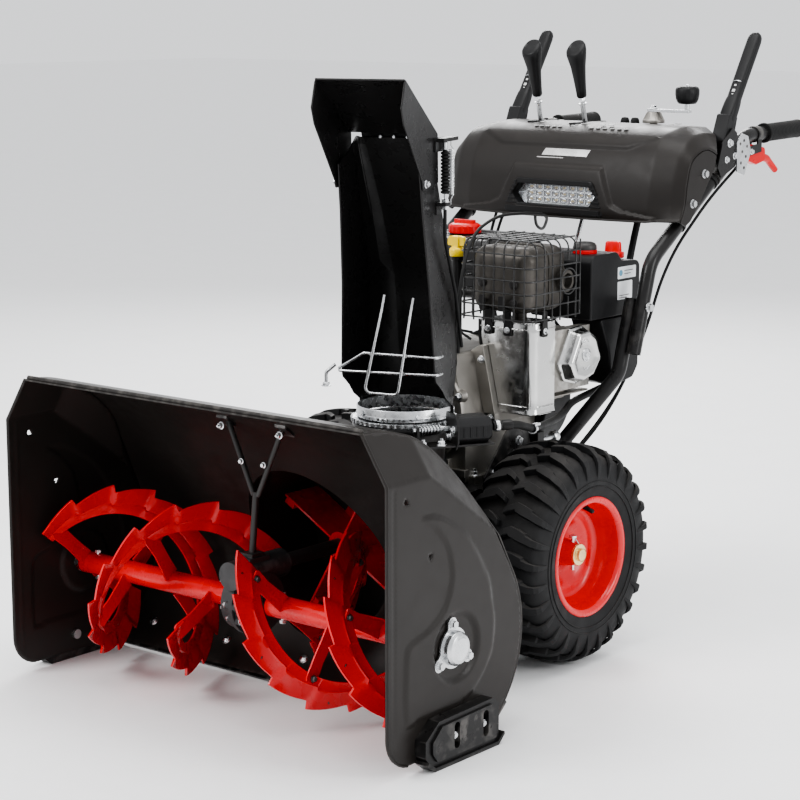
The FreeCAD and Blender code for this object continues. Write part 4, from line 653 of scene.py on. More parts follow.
def make_side_plate(sign, side):
    """Side plate of the housing with its pressed panels."""
    from mathutils.geometry import delaunay_2d_cdt
    outline = plate_outline()
    points = [Vector(p) for p in outline]
    count = len(points)
    edges = [(i, (i + 1) % count) for i in range(count)]
    loops = [list(range(count))]
    step = 5.0
    z = 18.0
    row = 0
    while z < 548:
        y = 3.0 + (row % 2) * step / 2
        while y < 356:
            if inside((y, z), outline) and polyline_distance((y, z), outline + outline[:1]) > 2.2:
                points.append(Vector((y, z)))
            y += step
        z += step * 0.9
        row += 1
    for curve in (smooth_line(FOLD, 8),):
        for p in curve:
            if inside(p, outline):
                points.append(Vector(p))
    verts, _, faces, *_ = delaunay_2d_cdt(points, edges, loops, 1, 1e-4)
    piece = Piece(Matrix.Scale(sign, 4, Vector((1, 0, 0))))
    hole = lambda p, c, r: math.hypot(p[0] - c[0], p[1] - c[1]) < r
    made = piece.verts([(plate_x(p.x, p.y) - 1.6 + pressed(p.x, p.y), p.x, p.y) for p in verts])
    for tri in faces:
        middle = sum((verts[k] for k in tri), Vector((0, 0))) / 3
        if hole(middle, (49, 440), 5.0) or hole(middle, (110, 343), 5.0):
            continue
        piece.face([made[k] for k in tri])
    obj = piece.done("side_panel_" + side, "housing_paint", "chassis",
                     replaces=["side_plate_" + side], sharp=180, solid=3.0)
    hem = Piece(Matrix.Scale(sign, 4, Vector((1, 0, 0))))
    route = [(437.6, 1.5 + 0.0, 100)] + [(437.6, 1.6, 100 + 37 * k) for k in range(1, 11)]
    lower = [(437.6, 56 - 54.5 * math.cos(math.radians(a)),
              69 - 54.5 * math.sin(math.radians(a))) for a in range(84, -1, -12)]
    upper = [(plate_x(1.6, z) + 0.6, 1.6, z) for z in (472, 480, 500, 520, 540, 549)]
    hem.tube(lower + route + upper, 2.3, 10)
    hem.done("side_hem_" + side, "housing_paint", "chassis")
    return obj


for SIGN, SIDE in SIDES:
    make_side_plate(SIGN, SIDE)


# ---- chute --------------------------------------------------------------------------------------
def make_ring():
    """Band of the chute ring, its bolts and the seat inside it."""
    ring = Piece(CHUTE)
    ring.lathe([(483, 81.3), (483, 84.2), (487, 84.2), (489, 84.9), (491, 84.2), (501, 84.2), (503, 83.4),
                (503, 81.3)],
               (0, 0, 0), (0, 0, 1), 96, closed=True)
    rows = []
    teeth = 48
    for i in range(teeth):
        for step, radius in ((0.0, 91.0), (0.2, 91.4), (0.3, 95.0), (0.5, 95.0), (0.6, 91.4), (0.8, 91.0)):
            angle = 2 * math.pi * (i + step) / teeth
            c, s = math.cos(angle), math.sin(angle)
            rows.append([(81.5 * c, 81.5 * s, 480.5), (radius * c, radius * s, 480.5),
                         (radius * c, radius * s, 474.0), (81.5 * c, 81.5 * s, 474.0)])
    ring.rings(rows, closed_path=True)
    ring.done("ring_band", "zinc", "chute", replaces=["chute_ring"], bevel=0.4)
    bolts = Piece(CHUTE)
    for degrees in (-128, -52, 20, 90, 160):
        angle = math.radians(degrees)
        seat = (84.6 * math.cos(angle), 84.6 * math.sin(angle), 493)
        bolts.bolt(seat, (math.cos(angle), math.sin(angle), 0), 8.5, 4.0, flange=False)
    bolts.done("ring_bolts", "zinc", "chute", bevel=0.3)
    disc = Piece(Matrix.Translation((113, 440, 0)))
    disc.lathe([(472, 78.2), (472, 91), (470.5, 92), (466, 92), (466, 84), (458, 84), (458, 81), (465, 81)],
               (0, 0, 0), (0, 0, 1), 96)
    disc.done("chute_seat", "black_paint", "chassis", replaces=["chute_base"], bevel=0.5)


make_ring()

SECTIONS = (
    # height, half width, front edge, end of the sides, back, corner
    (486.0, 87.5, -60.0, 6.0, 87.5, 52.0),
    (577.0, 87.0, -78.0, 34.0, 84.0, 46.0),
    (720.0, 81.0, -89.0, 30.0, 70.0, 36.0),
    (850.0, 76.0, -108.0, -20.0, 16.0, 26.0),
    (972.0, 74.0, -128.0, -66.0, -46.0, 18.0),
)


def section_at(z):
    """Cross section of the chute at a height."""
    for low, high in zip(SECTIONS, SECTIONS[1:]):
        if z <= high[0]:
            t = (z - low[0]) / (high[0] - low[0])
            return [a + (b - a) * t for a, b in zip(low, high)]
    return list(SECTIONS[-1])


def front_limit(z):
    """Front edge of the chute's sides, with the cut-away above the ring and the sloped top."""
    cut = [(486, 14), (500, 14), (520, -24), (538, -44), (556, -72), (570, -200)]
    for (za, ya), (zb, yb) in zip(cut, cut[1:]):
        if z <= zb:
            return ya + (yb - ya) * max(0.0, (z - za) / (zb - za))
    if z > 930:
        return -128 + 62 * (z - 930) / 42.0 + 24
    return -999.0


def trough_row(z, inset):
    """Row of points across the open chute at a height."""
    _, half, front, side_end, back, corner = section_at(z)
    front = max(front, front_limit(z))
    side_end = max(side_end, front + 2)
    half -= inset
    back -= inset
    raw = [(-half, front), (-half, side_end), (-half + 0.35 * corner, side_end + 0.6 * (back - side_end)),
           (-half + corner, back), (half - corner, back),
           (half - 0.35 * corner, side_end + 0.6 * (back - side_end)), (half, side_end), (half, front)]
    row = []
    for i, (a, b) in enumerate(raw):
        if i in (0, 7):
            row.append((a, b))
            continue
        before, after = raw[i - 1], raw[i + 1]
        for t in (0.10, 0.0, -0.10):
            if t > 0:
                row.append((a + (before[0] - a) * t, b + (before[1] - b) * t))
            elif t < 0:
                row.append((a + (after[0] - a) * -t, b + (after[1] - b) * -t))
            else:
                row.append((a * 0.985, b - 0.35))
    return [(a, b, z) for a, b in row]


def make_chute():
    """Open chute with its folded edges and bolts."""
    levels = [486, 492, 500, 508, 520, 530, 538, 548, 556, 562, 577, 600, 640, 680, 720, 750, 785, 820, 850,
              890, 930, 945, 960, 972]
    trough = Piece(CHUTE)
    trough.rings([trough_row(z, 1.5) for z in levels], closed_ring=False)
    trough.done("chute_trough", "chute_paint", "chute", replaces=["chute_body"], sharp=24,
                solid=3.0,
                bevel=0.5)
    trim = Piece(CHUTE)
    for side in (-1, 1):
        route = []
        for z in levels[8:21]:
            _, half, front, *_ = section_at(z)
            route.append((side * (half - 1.4), max(front, front_limit(z)) + 0.5, z))
        trim.tube(route, 1.9, 8)
    trim.box((74, 95), (-50, -24), (857, 863.4))
    trim.box((74.6, 78.6), (-50, -24), (842, 863.4))
    trim.done("chute_edges", "chute_paint", "chute", bevel=0.6)
    bolts = Piece(CHUTE)
    for side in (-1, 1):
        seat = (side * 80.9, -108, 899)
        bolts.bolt(seat, (side, 0, 0), 9.5, 4.5, flange=True, stud=2.0)
    for z, y in ((640, 66.0), (760, 50.0)):
        for x in (-48, 48):
            bolts.lathe([(0, 0), (0, 5), (2.2, 3.5), (2.6, 0)], (x, y + 10, z), (0, 1, 0), 20)
    bolts.done("chute_bolts", "zinc", "chute", bevel=0.3)


make_chute()


def make_hood():
    """Hood with its edges, rubber flap and rivets."""
    hood = Piece(CHUTE)
    half = 79.2
    top = [(-201.0, 1074.5), (-196, 1073), (-150, 1043.5), (-100, 1012), (-60, 986.5), (-50, 980)]
    rows = []
    for y, z in top:
        rows.append([(x, y, z + (0.9 if 0.25 < abs(x) / half < 0.96 and -190 < y < -60 else 0.0))
                     for x in (-half, -half + 2, -half + 12, -20, 0, 20, half - 12, half - 2, half)])
    hood.rings(rows, closed_ring=False)
    for side in (-1, 1):
        edge = soft_outline([(-201, 1074.5), (-50, 980), (-47, 897), (-96, 889), (-118, 889), (-122, 902),
                             (-208, 1002), (-219, 1028)], [2, 4, 3, 8, 8, 10, 8, 8], 4)
        made = hood.verts([(side * half, y, z) for y, z in edge])
        hood.face(made)
    hood.done("hood_shell", "chute_paint", "deflector", replaces=["chute_deflector"], solid=2.5,
              bevel=0.9, sharp=30, merge=0.5)
    extras = Piece(CHUTE)
    extras.box((80.6, 98.5), (-70, 2), (967, 973.5))
    extras.box((80.6, 84), (-70, -30), (950, 973.5))
    for side in (-1, 1):
        extras.tube(rounded([(side * 79, -218, 1028), (side * 79, -201, 1074), (side * 78, -60, 985)],
                            [0, 5, 0]), 1.8, 8)
    extras.tube([(-79, -202, 1074.5), (79, -202, 1074.5)], 2.0, 8)
    extras.done("hood_edges", "chute_paint", "deflector", bevel=0.5)
    flap = Piece(CHUTE)
    rows = []
    for y, z in ((-54, 985), (-50, 983.5), (-44.5, 979), (-41.5, 970), (-41, 962)):
        rows.append([(x, y, z) for x in (-62, -30, 0, 30, 62)])
    flap.rings(rows, closed_ring=False)
    flap.done("hood_flap", "rubber", "deflector", solid=1.6, sharp=60)
    rivets = Piece(CHUTE)
    for x in (-25, 0, 25):
        rivets.lathe([(0, 0), (0, 3.6), (1.4, 2.4), (1.7, 0)], (x, -49.6, 973), (0, -1, 0), 16)
    rivets.done("hood_rivets", "zinc", "deflector")


make_hood()


def make_tilt_fittings():
    """Boot, rod and return spring that tilt the hood."""
    x = 90.0
    cable = Piece(CHUTE)
    profile = [(0, 0)]
    base = 878.0
    for i in range(12):
        z = base + i * 6.0
        profile += [(z, 5.0), (z + 1.5, 7.6), (z + 3.0, 8.0), (z + 4.5, 7.6)]
    profile += [(base + 72.0, 4.6), (base + 76.0, 3.2), (base + 76.0, 0)]
    profile[0] = (base, 0)
    cable.lathe(profile, (x, -40, 0), (0, 0, 1), 24)
    cable.tube(rounded([(x, -40, 854), (x, -40, 800), (x, 15, 700), (x - 4, 58, 600)], [0, 60, 60, 0], 8), 3.2,
               10)
    cable.done("tilt_cable", "rubber", "chute", replaces=["deflector_fittings"])
    rods = Piece(CHUTE)
    rods.tube([(x, -40, 850), (x, -40, 966)], 2.3, 10)
    rods.bolt((x, -40, 863.5), (0, 0, 1), 11, 6, flange=False)
    rods.bolt((x, -40, 857), (0, 0, -1), 11, 6, flange=False)
    rods.lathe([(0, 0), (0, 4.5), (12, 4.5), (13, 3), (13, 0)], (x, -40, 953), (0, 0, 1), 20)
    rods.done("tilt_rod", "zinc", "chute", bevel=0.3)
    spring = Piece(CHUTE)
    turns = 30
    low, high = 874.0, 952.0
    coil = []
    for k in range(turns * 14 + 1):
        t = k / (turns * 14)
        angle = 2 * math.pi * turns * t
        coil.append((x + 5.0 * math.cos(angle), -12 + 5.0 * math.sin(angle), low + (high - low) * t))
    hook_low = [(x, -12, 857), (x, -12, 866), (x + 3, -12, 872)]
    hook_high = [(x + 3, -12, 954), (x, -12, 958), (x, -12, 965.5)]
    spring.tube(hook_low + coil + hook_high, 1.0, 7)
    spring.done("return_spring", "zinc", "chute")


make_tilt_fittings()


def make_guard():
    """Bent wire guard in front of the chute."""
    front = -84.0
    half = 90.2
    guard = Piece(CHUTE)
    wires = (
        ([(-half, front + 14, 569), (-half, front, 569), (half + 3, front, 571), (half + 3, front + 22, 571)],
         [0, 5, 5, 0]),
        ([(-half, front + 1, 573), (-42, front - 1, 603), (half + 3, front - 1, 601),
          (half + 3, front + 24, 601)],
         [0, 10, 6, 0]),
        ([(-3, front - 2, 706), (-6, front - 6, 682), (-40, front - 4, 534), (22, front - 4, 533),
          (47, front - 6, 680), (50, front - 2, 703)], [0, 30, 10, 10, 30, 0]),
    )
    for points, radii in wires:
        guard.tube(rounded(points, radii, 8), 2.6, 12)
    for x, y, z in ((-33, front - 2, 570), (32, front - 2, 571), (-27, front - 2, 602), (36, front - 2, 602)):
        guard.lathe([(-2, 0), (-2, 3.6), (2, 3.6), (2, 0)], (x, y, z), (0, 1, 0), 14)
    guard.done("guard_wire", "zinc", "chute", replaces=["chute_guard"])


make_guard()


# ---- chute drive --------------------------------------------------------------------------------
DRIVE_TURN = math.radians(60.0)
DRIVE_U = (math.cos(DRIVE_TURN), math.sin(DRIVE_TURN))
DRIVE = (Matrix.Translation((113 + DRIVE_U[1] * 104.6, 440 - DRIVE_U[0] * 104.6, 474))
         @ Matrix.Rotation(DRIVE_TURN, 4, "Z"))


def make_drive():
    """Cover, bracket and plated parts of the chute's drive."""
    body = Piece(DRIVE)
    outline = soft_outline([(12, -24), (-24, -24), (-36, -14), (-36, 8), (-24, 22), (12, 22)], 4)
    body.prism(outline, "x", 47, 106)
    body.prism([(a * 0.86, b * 0.86) for a, b in outline], "x", 106, 112)
    for k in range(4):
        body.prism([(-36.8, -12), (-35.5, -12), (-35.5, 6), (-36.8, 6)], "x", 56 + 12 * k, 62 + 12 * k)
    body.done("drive_cover", "black_plastic", "chassis", replaces=["chute_drive"], bevel=1.2,
              segments=3)
    plate = Piece(DRIVE)
    plate.prism(soft_outline([(14, -34), (-30, -34), (-40, -20), (-40, 10), (-28, 28), (14, 28)], 4), "x", 43,
                46.6)
    plate.box((-20, 116), (-33, 11), (-28, -24.4))
    plate.box((-19, -14), (-8, 8), (-25, 6))
    plate.lathe([(122, 0), (122, 8), (138, 7.6), (140, 9), (158, 9), (158, 0)], (0, -8, 0), (1, 0, 0), 24)
    plate.done("drive_bracket", "black_paint", "chassis", bevel=0.6)
    metal = Piece(DRIVE)
    metal.tube([(-24, 0, 0), (46, 0, 0)], 4.6, 16)
    rows = []
    for k in range(7 * 16 + 1):
        angle = 2 * math.pi * k / 16
        along = -12 + 40 * k / 112
        c, s = math.cos(angle), math.sin(angle)
        rows.append([(along - 1.6, 5 * c, 5 * s), (along - 0.6, 8.2 * c, 8.2 * s),
                     (along + 0.6, 8.2 * c, 8.2 * s),
                     (along + 1.6, 5 * c, 5 * s)])
    metal.rings(rows)
    metal.bolt((42.9, -22, 0), (-1, 0, 0), 10, 5.5)
    metal.bolt((42.9, -4, -14), (-1, 0, 0), 10, 5.5)
    metal.bolt((-14, -24, -24.2), (0, 0, 1), 12, 7, stud=4)
    metal.bolt((20, -24, -24.2), (0, 0, 1), 12, 7, stud=4)
    metal.lathe([(126, 8.2), (126, 10.2), (133, 10.2), (133, 8.2)], (0, -8, 0), (1, 0, 0), 32, closed=True)
    metal.box((127, 132), (-21, -16), (-4, 4))
    metal.done("drive_metal", "zinc", "chassis", bevel=0.3)


make_drive()


# ---- engine -------------------------------------------------------------------------------------
def make_guard_cage():
    """Wire cage round the muffler with its feet and bolts."""
    x0, x1, y0, y1, z0, z1 = 38.0, 203.0, 690.0, 848.0, 620.0, 770.0
    cage = Piece()
    wire = 1.6
    for k in range(6):
        z = z0 + 6 + 24.0 * k
        cage.tube(rounded([(x0, y1, z), (x0, y0, z), (x1, y0, z), (x1, y1, z)], 18), wire, 8)
    for k in range(7):
        x = x0 + 14 + 23.0 * k
        cage.tube(rounded([(x, y0, z0), (x, y0, z1), (x, y1, z1)], 20), wire, 8)
    for k in range(6):
        y = y0 + 20 + 25.0 * k
        if k == 4:
            cage.tube(rounded([(x1, y, z1 - 40), (x1, y, z1), (x0, y, z1)], 20), wire, 8)
            cage.tube([(x1, y, z0), (x1, y, z0 + 42)], wire, 8)
            continue
        cage.tube(rounded([(x1, y, z0), (x1, y, z1), (x0, y, z1), (x0, y, z0)], 20), wire, 8)
    turns = [2 * math.pi * k / 28 for k in range(28)]
    ring = [(x1, 812 + 24 * math.cos(a), 690 + 24 * math.sin(a)) for a in turns]
    cage.tube(ring, wire, 8, closed=True)
    cage.tube([(x1, y1, 626), (x1, y1, z1 - 4)], wire, 8)
    cage.done("cage_wire", "wire_black", "chassis", replaces=["muffler_guard"])
    feet = Piece()
    for x in (92.0, 136.0):
        outline = soft_outline([(x - 9, 592), (x + 9, 592), (x + 7, 650), (x - 7, 650)], [8, 8, 3, 3])
        feet.prism(outline, "y", 711.5, 715.0)
        feet.prism(soft_outline([(x - 6, 640), (x + 6, 640), (x + 6, 668), (x - 6, 668)], 3), "y", 691, 693.5)
        feet.box((x - 5, x + 5), (692, 713), (640, 643))
    outline = soft_outline([(738, 592), (756, 592), (754, 640), (740, 640)], [8, 8, 3, 3])
    feet.prism(outline, "x", 194.2, 197.5)
    feet.done("cage_feet", "black_paint", "chassis", bevel=0.6)
    bolts = Piece()
    for x in (92.0, 136.0):
        bolts.bolt((x, 711.4, 603), (0, -1, 0), 8, 5)
    bolts.bolt((197.6, 747, 603), (1, 0, 0), 8, 5)
    bolts.done("cage_bolts", "zinc", "chassis", bevel=0.3)


make_guard_cage()


def make_muffler():
    """Muffler can with its seam and bolts."""
    can = Piece()
    can.box((52, 188), (704, 836), (634, 756))
    can.done("muffler_can", "muffler_steel", "chassis", replaces=["muffler"], bevel=27,
             segments=9,
             sharp=30)
    trim = Piece()
    outline = soft_outline([(50, 632), (190, 632), (190, 758), (50, 758)], 28, 8)
    trim.prism(outline, "y", 768, 771.5)
    trim.lathe([(0, 0), (0, 30), (3, 29), (5, 22), (8, 21), (24, 21), (25, 20), (25, 14), (10, 13), (10, 0)],
               (176, 812, 690), (1, 0, 0), 36)
    trim.lathe([(0, 14), (48, 14)], (110, 786, 592), (0, 0, 1), 24)
    trim.done("muffler_seam", "muffler_steel", "chassis", bevel=0.8, segments=2)
    bolts = Piece()
    for x in (84, 156):
        bolts.bolt((x, 704.5, 656), (0, -1, 0), 11, 6)
        bolts.lathe([(0, 0), (0, 9), (4, 9), (6, 6), (6, 0)], (x, 704.5, 690), (0, -1, 0), 20)
    bolts.done("muffler_bolts", "dark_steel", "chassis", bevel=0.4)


make_muffler()


def make_shroud():
    """Plated shroud of the cylinder with its beads and welt."""
    shroud = Piece()
    levels = [618, 617, 612, 600, 585, 560, 530, 500, 475, 458, 452, 449, 447]
    rows = []
    for z in levels:
        left = 70.0 if z > 585 else 70.0 + 36.0 * ((585 - z) / 138.0) ** 1.1
        flare = 2.5 * ease((456 - z) / 9.0) + (1.6 if z >= 617 else 0.0) * -1
        front = 717.0 - flare
        right = 192.0 + flare
        waist = 1.5 * math.sin(math.pi * (618 - z) / 171.0)
        row = [(left, front + 10, z), (left + 1.5, front + 2, z), (left + 6, front, z),
               (120, front - waist * 0.3, z), (172, front, z)]
        for k in range(1, 9):
            a = math.radians(-90 + 90 * k / 9)
            row.append((right - 20 + 20 * math.cos(a), front + 20 + 20 * math.sin(a), z))
        row += [(right, front + 21, z), (right, 762, z), (right, 784, z), (right - 5, 786, z)]
        rows.append(row)
    shroud.rings(rows, closed_ring=False)
    shroud.done("shroud_panel", "shroud", "chassis", replaces=["cylinder_shroud"], solid=1.6, sharp=40)
    lip = Piece()
    lip.prism([(70, 716), (172, 716), (192, 736), (192, 786), (70, 786)], "z", 616.5, 618.5)
    lip.done("shroud_top", "shroud", "chassis", bevel=0.5)
    line = Piece()
    line.tube(rounded([(72, 714.6, 606), (176, 714.6, 606), (193.6, 732, 606), (193.6, 784, 606)], 16), 1.2, 8)
    line.tube(rounded([(104, 714.6, 462), (174, 714.6, 462), (193.6, 732, 462), (193.6, 780, 462)], 16), 1.2, 8)
    line.done("shroud_beads", "shroud", "chassis")
    edge = [(70.0 if z > 585 else 70.0 + 36.0 * ((585 - z) / 138.0) ** 1.1, z) for z in levels[1:]]
    welt = Piece()
    welt.tube([(x - 1.0, 718.5, z) for x, z in edge], 1.8, 8)
    welt.tube([(x - 6.5, 722.0, z) for x, z in edge], 1.6, 8)
    welt.done("shroud_welt", "black_paint", "chassis")
    fins = Piece()
    for k in range(11):
        z = 470 + 11.5 * k
        fins.box((100, 186), (790, 905), (z, z + 3.2))
    fins.done("head_fins", "cast_alloy", "chassis", bevel=0.8)


make_shroud()


def make_rocker_cover():
    """Six-sided rocker cover in three steps."""
    base = [(790, 534), (806, 501), (846, 491), (884, 500), (913, 534), (892, 584), (866, 600), (826, 597)]
    middle = (850.0, 546.0)

    def ring(scale, x, radius):
        scaled = [(middle[0] + (a - middle[0]) * scale, middle[1] + (b - middle[1]) * scale) for a, b in base]
        return [(x, a, b) for a, b in soft_outline(scaled, radius, 4)]

    cover = Piece()
    cover.rings([ring(1.0, 191, 9), ring(1.0, 196, 9), ring(0.985, 197.5, 9), ring(0.93, 198.5, 9),
                 ring(0.91, 200, 9),
                 ring(0.86, 212, 9), ring(0.83, 217, 9), ring(0.78, 219.5, 8), ring(0.66, 220.2, 7),
                 ring(0.62, 218.6, 6),
                 ring(0.36, 218.4, 5)])
    cover.done("rocker_pressing", "shroud", "chassis", replaces=["rocker_cover"], sharp=50, bevel=0.3)
    detail = Piece()
    detail.lathe([(0, 13), (2.2, 12.5), (2.6, 10.5), (1.2, 9.5), (1.2, 0)], (218.4, 850, 548), (1, 0, 0), 32)
    detail.bolt((219.4, 850, 548), (1, 0, 0), 9, 3.5, flange=False)
    detail.tube(rounded([(219, 842, 572), (219, 850, 579), (219, 858, 572)], 4), 1.0, 6)
    detail.tube(rounded([(219, 842, 526), (219, 850, 519), (219, 860, 527)], 4), 1.0, 6)
    for y, z in ((800, 520), (901, 530), (846, 497), (842, 594)):
        detail.bolt((196.5, y, z), (1, 0, 0), 6, 3.0, flange=False)
    detail.done("rocker_detail", "zinc", "chassis", bevel=0.3)


make_rocker_cover()


def make_shift_rod():
    """Plated shift bracket above the right tyre: a bent plate, its block and a roller on a pin."""
    plate = Piece()
    plate.prism(soft_outline([(134, 704), (166, 704), (166, 778), (134, 778)], 5, 4), "z", 370, 373)
    plate.box((134, 137), (706, 776), (352, 371))
    plate.box((163, 166), (706, 776), (352, 371))
    for y in (718, 742):
        plate.bolt((150, y, 373), (0, 0, 1), 6.5, 5)
    plate.done("shift_plate", "zinc", "chassis", bevel=0.6)
    block = Piece()
    block.box((138, 162), (776, 798), (366, 404))
    block.done("shift_block", "black_paint", "chassis", bevel=2.0, segments=3)
    rod = Piece()
    rod.lathe([(798, 0), (798, 5), (838, 5), (838, 9), (841, 11), (852, 11), (854, 9), (854, 0)], (150, 0, 384),
              (0, 1, 0), 28)
    rod.lathe([(798, 0), (798, 7.5), (803, 7.5), (803, 0)], (150, 0, 384), (0, 1, 0), 6)
    rod.done("shift_rod", "zinc", "chassis", bevel=0.4)


make_shift_rod()


def make_strap_bolts():
    """Bolts through the strap's upper ends and its middle."""
    bolts = Piece()
    for sign, _ in SIDES:
        bolts.bolt((sign * 68, 163.5, 482), (0, -1, 0), 9, 5, stud=4)
        bolts.bolt((sign * 26, 168, 424), (0, -1, 0), 7, 4)
    bolts.done("strap_bolts", "zinc", "chassis")


make_strap_bolts()


def make_covers():
    """Black engine covers with the primer, the choke grip and blank labels."""
    upper = Piece()
    upper.prism(soft_outline([(886, 606), (886, 728), (974, 730), (990, 712), (1052, 708), (1052, 606)],
                             [4, 16, 14, 10, 14, 6], 4), "x", 62, 203.6)
    upper.done("cover_upper", "black_plastic", "chassis", replaces=["engine_covers"], bevel=6,
               segments=5, sharp=50)
    lower = Piece()
    lower.prism(soft_outline([(920, 603.5), (1052, 603.5), (1052, 502), (1034, 480), (974, 471), (958, 478),
                              (950, 540)],
                             [4, 6, 16, 14, 10, 10, 40], 4), "x", 132, 203.6)
    lower.done("cover_lower", "black_plastic", "chassis", bevel=5, segments=5, sharp=50)
    labels = Piece()
    labels.prism(soft_outline([(974, 677), (1036, 677), (1036, 700), (974, 700)], 2, 3), "x", 203.6, 204.1)
    labels.prism(soft_outline([(974, 637), (1024, 637), (1024, 672), (974, 672)], 2, 3), "x", 203.6, 204.1)
    labels.done("blank_labels", "label", "chassis")
    mark = Piece()
    mark.lathe([(0, 0), (0, 6), (0.3, 6), (0.3, 0)], (204.1, 984, 688.5), (1, 0, 0), 24)
    mark.done("label_mark", "label_blue", "chassis")
    marks = Piece()
    for k, (y, z, wide) in enumerate(((996, 692, 30), (996, 686, 22), (980, 645, 34), (980, 640.5, 26))):
        marks.box((204.1, 204.3), (y, y + wide), (z - 0.7, z + 0.7))
    marks.done("label_lines", "dark_steel", "chassis")
    cap = Piece()
    cap.lathe([(0, 0), (0, 23), (6, 23), (7, 22)], (160, 926, 729), (0, 0, 1), 40)
    cap.done("primer_base", "red_plastic", "chassis")
    bulb = Piece()
    bulb.lathe([(7, 22.4), (9, 22.8), (15, 22), (19, 19), (21, 14), (21.5, 0)], (160, 926, 729), (0, 0, 1), 40)
    bulb.done("primer_top", "dark_steel", "chassis")
    knob = Piece()
    rows = []
    for z, scale in ((712.8, 0.93), (714, 1.0), (722, 1.0), (724, 0.97), (725, 0.86), (741, 0.80), (744, 0.72),
                     (745, 0.55)):
        row = []
        for k in range(60):
            a = 2 * math.pi * k / 60
            lobe = 1.0 if z < 724.5 else 0.80 + 0.20 * math.cos(3 * a)
            r = 21.0 * scale * lobe
            row.append((166 + r * math.cos(a), 1014 + r * math.sin(a), z))
        rows.append(row)
    knob.rings(rows)
    knob.done("choke_grip", "red_plastic", "choke_knob", replaces=["choke_knob"], bevel=0.6,
              sharp=40)


make_covers()


def make_tank():
    """Fuel tank with its seam and cap, and the dipstick on its pipe."""
    tank = Piece()
    tank.box((-194, 24), (798, 994), (636, 752))
    tank.done("tank_body", "black_paint", "chassis", replaces=["fuel_tank"], bevel=26,
              segments=8)
    seam = Piece()
    seam.prism(soft_outline([(-200, 792), (30, 792), (30, 1000), (-200, 1000)], 30, 8), "z", 692.5, 695.5)
    for x, y in ((-73, 807), (17, 813)):
        seam.box((x - 7, x + 7), (y - 7, y + 7), (560, 640))
    seam.lathe([(0, 21), (0, 29), (4, 29), (5, 22), (12, 22), (12, 18), (0, 18)], (-96, 884, 748), (0, 0, 1),
               40)
    for y in (830, 862, 906, 940):
        seam.tube(rounded([(-180, y, 751.2), (10, y, 751.2)], 0), 2.2, 8)
    seam.done("tank_seam", "black_paint", "chassis", bevel=0.8)
    cap = Piece()
    rows = []
    for z, scale in ((754.2, 0.97), (755, 1.0), (768, 1.0), (771, 0.95), (773, 0.82), (773.6, 0.6)):
        row = []
        for k in range(96):
            a = 2 * math.pi * k / 96
            r = 31.0 * scale + (1.1 if z < 769 and (k // 3) % 2 else 0.0)
            row.append((-96 + r * math.cos(a), 884 + r * math.sin(a), z))
        rows.append(row)
    cap.rings(rows)
    cap.prism(soft_outline([(-120, 879), (-72, 879), (-72, 889), (-120, 889)], 4.5), "z", 773, 780)
    cap.done("tank_cap", "red_plastic", "fuel_cap", replaces=["fuel_cap"], bevel=0.5)
    tube = Piece()
    tube.lathe([(560, 10), (720, 10), (722, 12), (728, 12), (728, 7), (700, 7)], (0, 735, 0), (0, 0, 1), 32)
    tube.tube(rounded([(-9, 735, 600), (-24, 735, 596), (-40, 735, 575)], 8), 3, 8)
    tube.done("filler_pipe", "black_paint", "chassis", replaces=["oil_filler_tube"], bevel=0.6)
    grip = Piece()
    grip.lathe([(728.3, 0), (728.3, 13.6), (729.5, 14.4), (741, 14.4), (744, 12.5), (746, 8), (750, 7)],
               (0, 735, 0), (0, 0, 1), 32)
    grip.prism(soft_outline([(-21, 748), (21, 748), (18, 765), (8, 767), (-8, 767), (-18, 765)], 3.5), "y", 731,
               739)
    grip.prism(soft_outline([(-8, 740), (8, 740), (8, 766), (-8, 766)], 3), "y", 728, 742)
    grip.lathe([(590, 0), (590, 2.8), (730, 2.8)], (0, 735, 0), (0, 0, 1), 12)
    grip.done("dipstick_grip", "yellow_plastic", "dipstick", replaces=["dipstick"], bevel=1.2,
              segments=3)


make_tank()


